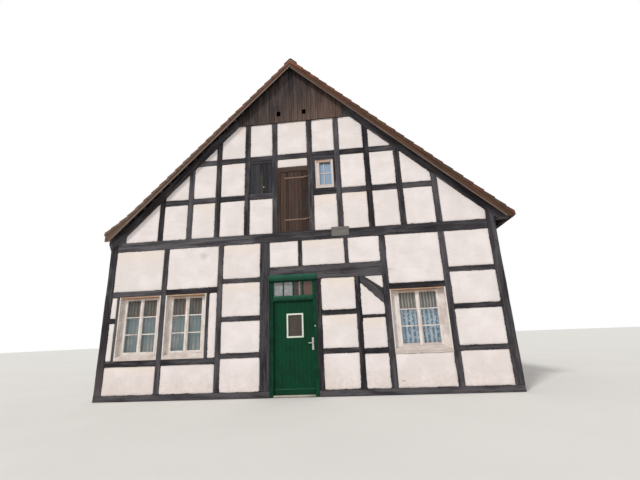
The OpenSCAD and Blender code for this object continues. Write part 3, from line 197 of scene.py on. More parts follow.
# Old marks on the front panels: middle and half size in x and z, colour and strength
FRONT_MARKS = (
    ((-2.36, 3.42), (0.17, 0.14), rgb(188, 180, 170), 0.6),
    ((2.30, 2.80), (0.19, 0.010), rgb(140, 128, 118), 0.9),
    ((2.85, 2.82), (0.42, 0.006), rgb(206, 196, 188), 0.7),
    ((2.40, 0.285), (0.055, 0.012), rgb(54, 48, 46), 1.0),
)


def plaster_finish(look, dark):
    """Limewash on plaster: mottling, old marks, dirt near the ground and a ragged edge of dark paint."""
    f = Finish("limewashed_plaster", Specular_IOR_Level=0.2, Roughness=0.92)
    place = f.place()
    rim, tone, fall = f.attribute("rim"), f.attribute("tone"), f.attribute("fall")
    clouds = f.noise(place, 2.3, 5, 0.6)
    patches = f.noise(place, 9, 4, 0.6, 0.6)
    grit = f.noise(place, 160, 3, 0.6)
    drips = f.noise(f.stretch(place, 14, 14, 0.9), 1, 4, 0.55)
    trowel = f.noise(f.stretch(place, 2, 2, 11), 1, 4, 0.6, 0.8)
    base = f.mix(f.between(f.sum(clouds, f.times(tone, 0.12)), 0.35, 0.72), look.colour, look.shade)
    base = f.over(base, rgb(216, 206, 203), f.between(patches, 0.58, 0.75), 0.3)
    base = f.over(base, rgb(208, 198, 197), f.between(trowel, 0.56, 0.72), 0.28)
    ochre = f.times(f.between(f.sum(tone, clouds), 1.2, 1.45), f.between(fall, 0.0, 0.45, 1, 0))
    base = f.over(base, rgb(244, 222, 190), ochre, 0.26)
    height = f.part(place, "Z")
    splash = f.times(f.between(height, 0.15, 0.85, 1, 0), f.between(patches, 0.35, 0.65, 0.15, 0.8))
    base = f.over(base, rgb(198, 178, 162), splash, 0.42)
    base = f.over(base, rgb(200, 192, 182), f.between(drips, 0.6, 0.75), 0.12)
    near = f.times(f.between(rim, 0.004, 0.04, 1, 0), f.between(patches, 0.3, 0.6, 0.2, 0.7))
    base = f.over(base, rgb(186, 176, 166), near, 0.5)
    for (x, z), (wide, high), colour, amount in FRONT_MARKS:
        across = f.math("POWER", f.math("DIVIDE", f.sum(f.part(place, "X"), -x), wide), 2.0)
        up = f.math("POWER", f.math("DIVIDE", f.sum(height, -z), high), 2.0)
        far = f.sum(f.math("SQRT", f.sum(across, up)), f.times(patches, 0.9))
        inside = f.between(far, 0.5, 1.5, 1, 0)
        front = f.between(f.part(place, "Y"), FRONT_FACE + 0.1, FRONT_FACE + 0.2, 1, 0)
        base = f.over(base, colour, f.times(inside, front), amount)
    edge = f.sum(rim, f.times(f.sum(f.noise(place, 18, 4, 0.6), -0.5), 0.05))
    f.colour(f.mix(f.between(edge, 0.002, 0.006, 1, 0), base, dark))
    f.bump(f.sum(f.times(grit, 0.25), patches), 0.003, 0.7)
    return f.material


def paint_finish(name, colour, worn, scale=1.0, rough=0.45, bare=None, gloss=0.35):
    """Oil paint on wood: brush marks, a slight change of shade, worn places and bare wood."""
    f = Finish(name, Specular_IOR_Level=gloss)
    grain = f.attribute("grain", "Vector")
    tone = f.attribute("tone")
    brush = f.streaks(grain, 5, 120, scale=scale)
    clouds = f.noise(grain, 3.5 * scale, 4, 0.6)
    base = f.mix(f.between(f.sum(clouds, f.times(tone, 0.15)), 0.4, 0.8), colour, worn)
    cracked = f.between(f.streaks(grain, 1.2, 34, roughness=0.65, scale=scale), 0.38, 0.62, 0.35, 1.0)
    base = f.over(base, worn, f.attribute("worn"), cracked)
    # The bare colour is bare wood on the windows, painted highlight on the door and painted shade on the
    # straps' lower edges.
    f.colour(f.over(base, bare or worn, f.attribute("brown"), f.between(brush, 0.3, 0.6, 0.55, 1.0)))
    f.rough(f.between(clouds, 0.35, 0.7, rough, rough + 0.22))
    f.bump(f.sum(f.times(brush, 0.5), clouds), 0.0008, 0.6)
    return f.material


def tile_finish(look):
    """Fired clay with a different shade for each tile, dark weathering, moss and painted shade on the
    undersides.
    """
    f = Finish("clay_pantiles", Specular_IOR_Level=0.25)
    place = f.place()
    tone = f.attribute("tone")
    low = f.attribute("low_end")
    patches = f.noise(place, 1.1, 4, 0.6, 0.3)
    grime = f.noise(place, 14, 5, 0.65)
    fine = f.noise(place, 90, 4, 0.6)
    clay = f.mix(f.between(tone, 0.1, 0.95), look.colour, look.dark)
    clay = f.over(clay, rgb(150, 94, 70), f.between(fine, 0.45, 0.75), 0.4)
    uneven = f.between(patches, 0.25, 0.6, 0.6, 1.0)
    clay = f.over(clay, look.aged, f.attribute("age"), uneven, True)
    lichen = f.attribute("age"), f.between(f.noise(place, 2.2, 3, 0.5, 0.2), 0.5, 0.6, 0, 0.45)
    clay = f.over(clay, rgb(92, 82, 48), *lichen)
    clay = f.over(clay, look.dusty, f.attribute("dusty"), uneven, True)
    dirty = f.between(f.sum(grime, f.times(patches, 0.45)), 0.62, 0.95)
    clay = f.over(clay, rgb(62, 46, 38), dirty, 0.75)
    damp = f.sum(f.sum(grime, f.times(low, 0.16)), f.times(patches, 0.5))
    moss = f.between(damp, 0.92, 1.12)
    clay = f.over(clay, rgb(84, 80, 46), moss, look.moss)
    # Painted shade: the tiles' undersides are near black.
    f.colour(f.mix(f.attribute("below"), clay, rgb(38, 31, 28)))
    f.rough(f.between(grime, 0.3, 0.7, 0.7, 0.95))
    f.bump(f.sum(f.times(fine, 0.3), f.sum(grime, moss)), 0.004, 0.7)
    return f.material


def stone_finish(name, colour, dark, slab=0.0):
    """Worn stone, in slabs with joints where a slab size is given."""
    f = Finish(name, Specular_IOR_Level=0.3)
    place = f.place()
    clouds = f.noise(place, 2.1, 5, 0.6)
    grit = f.noise(place, 70, 4, 0.6)
    base = f.mix(f.between(clouds, 0.35, 0.7), colour, dark)
    height = f.sum(clouds, f.times(grit, 0.3))
    if slab:
        joints = f.step("TexBrick", {"Vector": place, "Scale": 1.0, "Mortar Size": 0.012,
                                     "Brick Width": slab, "Row Height": slab * 0.66}, "Fac")
        base = f.over(base, shaded(dark, 0.35), joints, 0.7)
        height = f.math("SUBTRACT", height, joints)
    # The brown attribute lays a dark brown over the stone; on the threshold it is painted shade.
    f.colour(f.over(base, rgb(74, 62, 52), f.attribute("brown"), f.between(clouds, 0.3, 0.6, 0.7, 1.0)))
    f.rough(f.between(grit, 0.3, 0.7, 0.6, 0.85))
    f.bump(height, 0.003, 0.7)
    return f.material


def mortar_finish():
    """Lime mortar, grey and crumbling, with some moss."""
    f = Finish("lime_mortar", Specular_IOR_Level=0.2, Roughness=0.95)
    place = f.place()
    lumps = f.noise(place, 22, 5, 0.65)
    patches = f.noise(place, 3.5, 4, 0.6)
    base = f.mix(f.between(lumps, 0.35, 0.7), rgb(150, 140, 126), rgb(104, 90, 78))
    f.colour(f.over(base, rgb(84, 76, 50), f.between(patches, 0.52, 0.7), 0.6))
    f.bump(lumps, 0.006, 0.9)
    return f.material


def iron_finish():
    """Smith's iron with old paint and rust."""
    f = Finish("smiths_iron", Metallic=0.35, Specular_IOR_Level=0.4)
    place = f.place()
    rust = f.noise(place, 38, 5, 0.65)
    f.colour(f.mix(f.between(rust, 0.45, 0.68), rgb(72, 64, 58), rgb(122, 84, 60)))
    f.rough(f.between(rust, 0.35, 0.7, 0.55, 0.9))
    f.bump(rust, 0.0015, 0.7)
    return f.material


def shared_iron():
    """The smith's iron, made by the first group of pieces that asks for it."""
    return bpy.data.materials.get("smiths_iron") or iron_finish()


def steel_finish():
    """Satin steel, brushed upwards."""
    f = Finish("satin_steel", Metallic=1.0, Base_Color=rgb(190, 188, 184))
    place = f.place()
    brushed = f.noise(f.stretch(place, 900, 900, 25), 1, 3, 0.6)
    f.rough(f.between(brushed, 0.3, 0.7, 0.28, 0.42))
    f.bump(brushed, 0.0002, 0.4)
    return f.material


def glass_finish(name, tint, alpha):
    """Old window glass, slightly uneven."""
    f = Finish(name, Base_Color=tint, Roughness=0.06, Alpha=alpha, IOR=1.5)
    f.old_glass(f.place())
    return f.material


def cloth_finish(name, colour, fold, alpha=1.0, lace=None, pale=None):
    """Woven cloth: threads both ways, painted light in pale patches, painted shade in the folds; lace has a
    pattern of its own.
    """
    f = Finish(name, Specular_IOR_Level=0.15, Roughness=0.9, Sheen_Weight=0.05, Alpha=alpha)
    weave = f.attribute("grain", "Vector")
    depth = f.attribute("tone")
    threads = f.times(*(f.step("TexWave", {"Vector": weave, "Scale": 300.0}, "Fac", bands_direction=way)
                        for way in "XY"))
    clouds = f.noise(weave, 5, 3, 0.5)
    # Painted light: patches of the paler, lit colour.
    base = f.mix(f.between(f.noise(weave, 1.9, 3, 0.5), 0.42, 0.62), colour, pale or colour)
    if lace:
        cells = f.step("TexVoronoi", {"Vector": weave, "Scale": 16.0}, "Distance")
        knots = f.sum(cells, f.times(f.noise(weave, 24, 3, 0.6, 0.8), 0.8))
        base = f.mix(f.between(knots, 0.5, 1.0), base, lace)
    # Painted shade deep in the folds, by each fold's depth.
    shade = f.between(f.sum(depth, f.times(clouds, 0.3)), 0.35, 1.05)
    f.colour(f.mix(shade, base, shaded(colour, fold)))
    f.bump(threads, 0.0006, 0.5)
    return f.material


# Shapes

class Parts:
    """Gathers the shapes of one piece, with what its finish reads at each point."""

    def __init__(self):
        self.points, self.faces, self.values = [], [], {"grain": [], "tone": []}

    def add(self, points, faces, **values):
        start, count = len(self.points), len(points)
        self.points += [tuple(p) for p in points]
        self.faces += [tuple(start + i for i in face) for face in faces]
        values.setdefault("grain", [tuple(p) for p in points])
        values.setdefault("tone", 0.5)
        for key in values:
            self.values.setdefault(key, [0.0] * start)
        for key, column in self.values.items():
            value = values.get(key, 0.0)
            column += list(value) if isinstance(value, (list, tuple)) else [value] * count

    def add_mesh(self, bm, **values):
        """Adds a mesh and frees it."""
        bm.verts.index_update()
        self.add([v.co for v in bm.verts], [[v.index for v in face.verts] for face in bm.faces], **values)
        bm.free()

    def add_wood(self, bm, ways, offset, **values):
        """Adds a mesh with its grain along the first of three directions."""
        grain = [tuple(v.co.dot(way) + move for way, move in zip(ways, offset)) for v in bm.verts]
        self.add_mesh(bm, grain=grain, **values)

    def make(self, name, finish, slot, replaces=(), smooth=None, body="house"):
        """One object from all the shapes, on its body and in place of the solids that it stands for."""
        mesh = bpy.data.meshes.new(name)
        mesh.from_pydata(self.points, [], self.faces)
        for key, column in self.values.items():
            if key == "grain":
                flat = [c for vector in column for c in vector]
                mesh.attributes.new(key, "FLOAT_VECTOR", "POINT").data.foreach_set("vector", flat)
            else:
                mesh.attributes.new(key, "FLOAT", "POINT").data.foreach_set("value", column)
        mesh.materials.append(finish)
        if smooth is not None:
            mesh.shade_smooth()
            mesh.set_sharp_from_angle(angle=math.radians(smooth))
        mesh.update()
        piece = linked(name, mesh)
        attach(piece, body)
        if replaces:
            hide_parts(*replaces)
        return piece


def linked(name, data):
    """A new object in the scene."""
    made = bpy.data.objects.new(name, data)
    bpy.context.scene.collection.objects.link(made)
    return made


def coat(node, finish):
    """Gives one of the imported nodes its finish."""
    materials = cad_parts[node].data.materials
    materials.clear()
    materials.append(finish)


def solids(node):
    """The solids of a node, each a mesh of its own with whole, flat faces."""
    whole = bmesh.new()
    whole.from_mesh(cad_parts[node].data)
    bmesh.ops.remove_doubles(whole, verts=whole.verts, dist=2e-5)
    bmesh.ops.dissolve_limit(whole, angle_limit=0.02, verts=whole.verts, edges=whole.edges)
    whole.verts.ensure_lookup_table()
    left, found = set(whole.verts), []
    for seed in whole.verts:
        if seed not in left:
            continue
        left.discard(seed)
        group, todo = [seed], [seed]
        while todo:
            for edge in todo.pop().link_edges:
                for v in edge.verts:
                    if v in left:
                        left.discard(v)
                        group.append(v)
                        todo.append(v)
        place = {v: i for i, v in enumerate(group)}
        one = bmesh.new()
        made = [one.verts.new(v.co) for v in group]
        for face in dict.fromkeys(f for v in group for f in v.link_faces):
            one.faces.new([made[place[v]] for v in face.verts])
        one.normal_update()
        found.append(one)
    whole.free()
    found.sort(key=lambda b: tuple(round(c, 4) for c in middle(b)))
    return found


def members(nodes):
    """The solids of several nodes, one after the other."""
    return (bm for node in nodes for bm in solids(node))


def limits(bm):
    """The lowest and highest corners of a mesh."""
    return (Vector(min(v.co[i] for v in bm.verts) for i in range(3)),
            Vector(max(v.co[i] for v in bm.verts) for i in range(3)))


def spans(*nodes):
    """The lowest and highest corners of each solid of some nodes."""
    return [limits(bm) for bm in members(nodes)]


def middle(bm):
    low, high = limits(bm)
    return (low + high) / 2


def axes(bm):
    """Directions along, across and through a solid, by its longest edges."""
    runs = sorted((tuple(round(c, 5) for c in (e.verts[1].co - e.verts[0].co)) for e in bm.edges),
                  key=lambda r: (-round(Vector(r).length, 3), r))
    along = Vector(runs[0]).normalized()
    for run in runs:
        side = Vector(run) - along * Vector(run).dot(along)
        if side.length > 0.5 * Vector(run).length:
            break
    across = side.normalized()
    return along, across, along.cross(across)


def cut(bm, place, normal, near=1e-5, clear=False):
    """Cuts a mesh along a plane and clears what lies beyond it, if asked; returns the edges of the cut."""
    made = bmesh.ops.bisect_plane(bm, geom=bm.verts[:] + bm.edges[:] + bm.faces[:], dist=near,
                                  plane_co=place, plane_no=normal, clear_outer=clear)
    return [e for e in made["geom_cut"] if isinstance(e, bmesh.types.BMEdge)]


def cut_every(bm, direction, spacing):
    """Cuts a mesh across a direction into even lengths."""
    places = [v.co.dot(direction) for v in bm.verts]
    low, high = min(places), max(places)
    count = max(1, round((high - low) / spacing))
    for i in range(1, count):
        cut(bm, direction * (low + (high - low) * i / count), direction)


def ease(bm, size, segments=1):
    """Takes the sharp edges off a solid."""
    if size:
        sharp = [e for e in bm.edges if len(e.link_faces) == 2 and e.calc_face_angle(0) > SHARP]
        bmesh.ops.bevel(bm, geom=sharp, offset=size, segments=segments, profile=0.5, affect="EDGES",
                        clamp_overlap=True)


def somewhere(dice):
    """A place in the noise, for a member of its own."""
    return Vector([dice.uniform(0, 50) for _ in range(3)])


def wander(place, size, offset, scale=1.6):
    """How far a point of old work has moved from its straight line."""
    at = (place + offset) * scale
    return Vector([noise.noise(at + Vector(apart)) for apart in ((0, 0, 0), (19, 0, 0), (0, 37, 0))]) * size


def aged(bm, marks, low, high):
    """How worn and how brown each point of a member is, by a marks function."""
    found = [marks(v.co, low, high) if marks else (0.0, 0.0) for v in bm.verts]
    return {"worn": [worn for worn, brown in found], "brown": [brown for worn, brown in found]}


def dress(nodes, name, finish, slot, chamfer, sway=0.0, spacing=0.15, body="house", tone=None, segments=1,
          smooth=None, shape=None, marks=None):
    """Rebuilds the members of some nodes with eased edges, a slight wander and their own grain.

    A shape function changes a solid first; a marks function says how worn and how brown a place is."""
    parts, dice = Parts(), random.Random(name)
    for bm in members(nodes):
        ways, (low, high) = axes(bm), limits(bm)
        if shape:
            shape(bm)
        ease(bm, chamfer, segments)
        if sway:
            cut_every(bm, ways[0], spacing)
        offset = somewhere(dice)
        for v in bm.verts:
            v.co += wander(v.co, sway, offset) + wander(v.co, sway * 0.35, offset, 9)
            v.co.z = max(v.co.z, 0.0)
        shade = dice.random() if tone is None else tone
        parts.add_wood(bm, ways, offset, tone=shade, **aged(bm, marks, low, high))
    return parts.make(name, finish, slot, nodes, smooth, body)


def boards(bm, direction, width, gap, dice):
    """Saws a solid into boards of uneven width, as meshes with a gap between them."""
    vary = 0.25
    low, high = (f(v.co.dot(direction) for v in bm.verts) for f in (min, max))
    edges, place = [low], low
    while high - place > width * (1 + vary):
        place += width * dice.uniform(1 - vary, 1 + vary)
        edges.append(place)
    edges.append(high)
    for a, b in zip(edges, edges[1:]):
        board = bm.copy()
        sides = [(a + gap / 2, -direction)] if a > low else []
        sides += [(b - gap / 2, direction)] if b < high else []
        for at, way in sides:
            bmesh.ops.holes_fill(board, edges=cut(board, direction * at, way, clear=True), sides=0)
        if board.faces:
            board.normal_update()
            yield board
        else:
            board.free()


def plank(nodes, name, finish, slot, direction, width, gap, chamfer, sway=0.001, outward=FRONT,
          uneven=0.002, drop=0.0, marks=None):
    """Rebuilds solids as rows of boards, each a little out of line with the next, their feet uneven."""
    parts, dice = Parts(), random.Random(name)
    spacing, foot = 0.25, 0.02
    for bm in members(nodes):
        for board in boards(bm, direction, width, gap, dice):
            ways = axes(board)
            ease(board, chamfer)
            cut_every(board, ways[0], spacing)
            offset = somewhere(dice)
            step = outward * dice.uniform(-uneven, uneven)
            bottom = limits(board)[0].z + foot
            sink = dice.uniform(-drop, drop)
            for v in board.verts:
                if drop and v.co.z < bottom:
                    v.co.z += sink
                v.co += step + wander(v.co, sway, offset, 4)
            worn = aged(board, marks, *limits(board))
            parts.add_wood(board, ways, offset, tone=dice.random(), **worn)
        bm.free()
    return parts.make(name, finish, slot, nodes)


def panel_face(bm, outward):
    """The outline of a panel's outer face, in order."""
    face = max(bm.faces, key=lambda f: (round(f.normal.dot(outward), 3), f.calc_area()))
    return [v.co.copy() for v in face.verts]


def grown(outline, outward, size):
    """An outline moved outwards on all sides, so that it reaches under the timbers."""
    count, moved = len(outline), []
    for i, corner in enumerate(outline):
        before = (corner - outline[i - 1]).normalized().cross(outward)
        after = (outline[(i + 1) % count] - corner).normalized().cross(outward)
        if before.dot(corner - sum(outline, Vector()) / count) < 0:
            before, after = -before, -after
        moved.append(corner + (before + after) * size / (1 + before.dot(after)))
    return moved


def inward_sides(outline, outward):
    """A corner on each side of an outline and the direction from that side into the panel."""
    centre, sides = sum(outline, Vector()) / len(outline), []
    for corner, after in zip(outline, outline[1:] + outline[:1]):
        inward = (after - corner).normalized().cross(outward)
        sides.append((corner, inward if inward.dot(centre - corner) > 0 else -inward))
    return sides


def plaster_panels(nodes, name, finish, look, outward_of):
    """Plaster panels: the field stands a little proud of its rim and is trowelled unevenly."""
    parts, dice = Parts(), random.Random(name)
    insets, rim_slope, ragged = (0.0, 0.014, 0.034, 0.07), 0.022, 0.012
    for solid in members(nodes):
        outward = outward_of(solid)
        outline = panel_face(solid, outward)
        sides = inward_sides(outline, outward)
        depth = outline[0].dot(outward) - min(v.co.dot(outward) for v in solid.verts)
        solid.free()
        bm = bmesh.new()
        bm.faces.new([bm.verts.new(p) for p in grown(outline, outward, look.under)])
        for corner, inward in sides:
            for inset in insets:
                cut(bm, corner + inward * inset, inward, 1e-4)
        cut_every(bm, UP, look.grid)
        cut_every(bm, UP.cross(outward), look.grid)
        offset = somewhere(dice)
        rims = []
        round_off = dice.uniform(0.3, 1.0) * look.corner
        bottom, top = min(p.z for p in outline), max(p.z for p in outline)
        for v in bm.verts:
            here = v.co + offset
            gaps = [(v.co - corner).dot(inward) for corner, inward in sides]
            short = math.sqrt(sum(max(0.0, round_off - g) ** 2 for g in gaps))
            rim = round_off - short if short else min(gaps)
            rim += ragged * noise.noise(here * 3.1)
            rims.append(rim)
            sunk = look.rim_depth * math.exp(-max(rim, 0) / rim_slope)
            lumps = noise.noise(here * 2.2) + 0.45 * noise.noise(here * 8.5)
            v.co -= outward * (sunk - lumps * look.uneven)
        rim_edges = [e for e in bm.edges if len(e.link_faces) == 1]
        back = bmesh.ops.extrude_edge_only(bm, edges=rim_edges)["geom"]
        for v in (g for g in back if isinstance(g, bmesh.types.BMVert)):
            v.co -= outward * (depth + (v.co - outline[0]).dot(outward))
            rims.append(0.0)
        hole = [g for g in back if isinstance(g, bmesh.types.BMEdge) and len(g.link_faces) == 1]
        bmesh.ops.holes_fill(bm, edges=hole, sides=0)
        bm.normal_update()
        fall = [(top - v.co.z) / (top - bottom) for v in bm.verts]
        parts.add_mesh(bm, tone=dice.random(), rim=rims, fall=fall)
    return parts.make(name, finish, "plaster", nodes, 50)


def box_shape(low, high):
    """A block between two corners, as a mesh."""
    low, high = Vector(low), Vector(high)
    bm = bmesh.new()
    bmesh.ops.create_cube(bm, size=1)
    for v in bm.verts:
        v.co = v.co * (high - low) + (low + high) / 2
    return bm


def web(rows, columns, closed=False, start=0, flip=False):
    """The faces between rows of points; closed rows go round, flipped faces look the other way."""
    faces = []
    for row in range(rows - 1):
        for i in range(columns if closed else columns - 1):
            a, b = (start + row * columns + k for k in (i, (i + 1) % columns))
            faces.append((a, a + columns, b + columns, b) if flip else (a, b, b + columns, a + columns))
    return faces


def add_member(parts, bm, dice, chamfer, along, sway=0.0, spacing=0.2, worn=0.0, brown=0.0):
    """Eases a loose member, lets it wander and puts it with the other shapes."""
    ease(bm, chamfer)
    if sway:
        cut_every(bm, along, spacing)
    offset = somewhere(dice)
    side = along.orthogonal().normalized()
    for v in bm.verts:
        v.co += wander(v.co, sway, offset) + wander(v.co, sway * 0.5, offset, 11)
    ways = along, side, along.cross(side)
    parts.add_wood(bm, ways, offset, tone=dice.random(), worn=worn, brown=brown)


def add_strip(parts, dice, low, high, **values):
    """A block between two corners with its edges eased, its grain along the longer side of its face."""
    way = UP if high[2] - low[2] > high[0] - low[0] else RIGHT
    add_member(parts, box_shape(low, high), dice, 0.003, way, **values)


# Roof

class Slope:
    """One slope of the roof, read off its slab: places down it, over its battens and along the house.

    The last tiles end at the distance `last`; the eave's kick starts in a bend, `soft` before and after."""

    soft = 0.18

    def __init__(self, side):
        self.side = side
        self.node = "roof_tiles_left" if side < 0 else "roof_tiles_right"
        low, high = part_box(self.node)
        self.ends = low.y, high.y
        underside = {}
        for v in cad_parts[self.node].data.vertices:
            x = round(v.co.x, 4)
            underside[x] = min(v.co.z, underside.get(x, v.co.z))
        places = sorted(underside, key=lambda x: abs(x - RIDGE_X))
        self.start = Vector((places[0], 0, underside[places[0]]))
        bend = Vector((places[1], 0, underside[places[1]]))
        self.down = (bend - self.start).normalized()
        self.away = Vector((-self.down.z * side, 0, abs(self.down.x)))
        self.straight = (bend - self.start).length
        self.length = abs(places[-1] - places[0]) / abs(self.down.x)
        self.lift = underside[places[-1]] - (self.start.z + self.down.z * self.length)
        thick = (high.z - self.start.z) * self.away.z
        self.last = self.length - thick * abs(self.down.z) / abs(self.down.x) - INSIDE

    def at(self, s, height, y, kicked=True):
        """The place at a distance down the slope; the eave's kick starts in a soft bend."""
        past = s - self.straight
        if not kicked or self.lift < 0.001 or past < -self.soft:
            rise = 0.0
        else:
            run = past if past > self.soft else (past + self.soft) ** 2 / (4 * self.soft)
            rise = self.lift * run / (self.length - self.straight)
        return self.start + self.down * s + self.away * height + Vector((0, y, rise))

    def mitre(self, height):
        """How far down the slope the plumb joint over the ridge lies, at a height over the battens."""
        return -self.away.x * height / self.down.x


def pantile(parts, slope, s0, y0, lap, width, look, dice, verge=0):
    """One pantile: an S across the slope, its lower end on the tile below; a verge tile's side hangs down."""
    tone, twist, slip = dice.random(), dice.uniform(-0.012, 0.012), dice.uniform(-0.004, 0.004)
    rise = dice.uniform(0, 0.003)
    across, first_turn, last_turn, fall, thin = [], -0.06, 1.06, 0.006, 0.55
    for i in range(TILE_STEPS + 1):
        t = i / TILE_STEPS
        turn = first_turn + t * (last_turn - first_turn)
        wave = (0.5 + 0.5 * math.cos(2 * math.pi * turn)) ** 1.5
        y = (t * (1 + 2 * TILE_SIDE) - TILE_SIDE) * width
        across.append((t, y, look.roll * wave + fall * (1 - t)))
    if verge:
        # The side plate stands outside the verge board and reaches down over its top
        edge = -TILE_SIDE * width if verge < 0 else (1 + TILE_SIDE) * width
        across = [a for a in across if (verge > 0 or a[0] > 0.05) and a[0] < 0.95]
        top, bend, inwards = look.roll * 0.9, 0.012, 0.010
        plate = [(0.0, edge, -look.plate_drop), (0.0, edge, top - bend), (0.02, edge - verge * inwards, top)]
        across = plate + across if verge < 0 else across + plate[::-1]
    n = len(across)
    points, low_end, age, below = [], [], [], []
    for under in (0, 1):
        for end in (0, 1):
            for k, (t, y, h) in enumerate(across):
                plate_point = verge and (k < 3 if verge < 0 else k >= n - 3)
                skin = look.tile_thickness * (1 if t > 0.03 else thin)
                height = h + look.tile_lift * end + rise
                height += 0 if under and not plate_point else look.tile_thickness
                s = s0 + (lap + slip) * end + (0 if plate_point else twist * (t - 0.5))
                if plate_point and end and h < 0 and s0 + lap > slope.last - 0.001:
                    s += look.heel
                if plate_point and not end and s0 < look.first_row + 0.001:
                    s = slope.mitre(height)
                out = verge * (look.plate_step * end - skin * under) if plate_point else 0.0
                points.append(slope.at(s, height, y0 + y + out))
                low_end.append(float(end))
                age.append(min(1.0, max(0.0, s / slope.length)))
                # Undersides are marked for the painted shade of the tile finish.
                below.append(0.0 if plate_point or not under else 1.0)
    faces = web(2, n) + web(2, n, start=2 * n, flip=True)
    for i in range(n - 1):
        faces.append((n + i, n + i + 1, 3 * n + i + 1, 3 * n + i))
        if verge:
            faces.append((i, 2 * n + i, 2 * n + i + 1, i + 1))
    faces += [(0, n, 3 * n, 2 * n), (n - 1, 3 * n - 1, 4 * n - 1, 2 * n - 1)]
    old = [min(1.0, 0.1 + 1.6 * a) for a in age] if verge and slope.side > 0 else 0.0
    dusty = [min(1.0, 0.1 + 1.1 * a) for a in age] if verge and slope.side < 0 else 0.0
    parts.add(points, faces, tone=tone, low_end=low_end, age=old, dusty=dusty, below=below)


def tiled_slope(slope, look, finish, verges):
    """All the tiles of one slope, in rows from the ridge to the eaves; the outer ones go with the verges."""
    low, high = slope.ends
    exposed = (slope.last - look.first_row) / look.rows
    columns = round((high - low) / look.tile_width)
    inset = look.plate_step + 0.001 + TILE_SIDE * look.tile_width
    width = (high - low - 2 * inset) / columns
    parts, dice = Parts(), random.Random(17 if slope.side < 0 else 18)
    for row in range(look.rows):
        s0 = look.first_row + row * exposed
        lap = min(exposed + look.tile_lap, slope.last - s0)
        for column in range(columns):
            verge = -1 if column == 0 else 1 if column == columns - 1 else 0
            y0 = low + inset + column * width
            pantile(verges if verge else parts, slope, s0, y0, lap, width, look, dice, verge)
    name = "pantiles_left" if slope.side < 0 else "pantiles_right"
    return parts.make(name, finish, "clay_tiles", (slope.node,), 40)


def bar(parts, corners, dice, chamfer, along, sway, spacing=0.09):
    """A six-sided bar from its corners: near end, then far end, each low then high, outer then inner."""
    bm = bmesh.new()
    made = [bm.verts.new(p) for p in corners]
    for face in ((0, 1, 3, 2), (4, 6, 7, 5), (0, 4, 5, 1), (2, 3, 7, 6), (0, 2, 6, 4), (1, 5, 7, 3)):
        bm.faces.new([made[i] for i in face])
    bmesh.ops.recalc_face_normals(bm, faces=bm.faces[:])
    add_member(parts, bm, dice, chamfer, along, sway, spacing)


def ring(parts, line, radius, taper=1.0):
    """A round bar along a line of places, its ends closed with small domes."""
    sides, points = 12, []
    start, end = (line[1] - line[0]).normalized(), (line[-1] - line[-2]).normalized()
    places = [line[0] - start * radius * 0.3] + line + [line[-1] + end * radius * 0.3]
    widths = [0.6] + [1.0] * (len(line) - 1) + [taper, taper * 0.6]
    for i, (place, wide) in enumerate(zip(places, widths)):
        before, after = places[max(i - 1, 0)], places[min(i + 1, len(places) - 1)]
        way = (after - before).normalized()
        side = way.cross(FRONT if abs(way.dot(FRONT)) < 0.9 else UP).normalized()
        other = way.cross(side)
        points += [place + (side * math.cos(a) + other * math.sin(a)) * radius * wide
                   for a in (2 * math.pi * k / sides for k in range(sides))]
    faces = web(len(places), sides, closed=True)
    faces += [tuple(range(sides)), tuple(range(len(points) - 1, len(points) - sides - 1, -1))]
    parts.add(points, faces)


def ridge_arc(left, right, height, radius, reach):
    """Across the ridge at a height over the battens: one flange, the rounded top and the other flange."""
    a, b = left.away, right.away
    det = a.x * b.z - a.z * b.x
    centre = left.start + Vector(((b.z - a.z) / det, 0, (a.x - b.x) / det)) * (height - radius)
    first, last = math.atan2(a.z, a.x), math.atan2(b.z, b.x)
    turns, arc = 8, []
    for i in range(turns + 1):
        angle = first + (last - first) * i / turns
        arc.append(centre + Vector((math.cos(angle), 0, math.sin(angle))) * radius)
    return [left.at(reach, height, 0)] + arc + [right.at(reach, height, 0)]


# Cloth

def pleated(parts, x, z, y, pleats, depth, dice, hem=0.006, gather=0.3):
    """A gathered sheet between two widths and heights, its hem wavy and its top drawn together."""
    across, down = pleats * 10, 12
    spread, slack = 0.6, 1.6
    phases = [dice.uniform(-spread, spread) for _ in range(pleats + 1)]
    sizes = [dice.uniform(0.6, 1.0) for _ in range(pleats + 1)]
    points, depths, weave = [], [], []
    for j in range(down + 1):
        fall = j / down
        for i in range(across + 1):
            t = i / across
            k = min(int(t * pleats), pleats - 1)
            mix = t * pleats - k
            phase = phases[k] * (1 - mix) + phases[k + 1] * mix
            size = (sizes[k] * (1 - mix) + sizes[k + 1] * mix) * depth * (1 - gather * (1 - fall) ** 2)
            wave = math.sin(2 * math.pi * pleats * t + phase * (0.4 + fall))
            drift = 0.25 * depth * math.sin(6 * fall + 5 * t)
            points.append(Vector((x[0] + (x[1] - x[0]) * t + drift * 0.6,
                                  y - size * wave * 0.5, z[1] - (z[1] - z[0]) * fall
                                  - hem * math.sin(math.pi * pleats * t) ** 2 * fall)))
            # The depth of each fold, read by the cloth finish for its painted shade.
            depths.append(0.5 - 0.5 * wave)
            weave.append((t * (x[1] - x[0]) * slack, fall * (z[1] - z[0]), 0.0))
    parts.add(points, web(down + 1, across + 1), tone=depths, grain=weave)


def sheet_area(piece):
    bm = bmesh.new()
    bm.from_mesh(piece.data)
    area = sum(f.calc_area() for f in bm.faces)
    bm.free()
    return area


# Looks that a user can change

def length_of(name, default, description):
    return FloatProperty(name=name, description=description, default=default, unit="LENGTH", precision=4)


def share_of(name, default, description):
    return FloatProperty(name=name, description=description, default=default, min=0.0, max=1.0,
                         subtype="FACTOR")


def colour_of(name, default, description):
    return FloatVectorProperty(name=name, description=description, default=default, size=3, min=0.0, max=1.0,
                               subtype="COLOR")


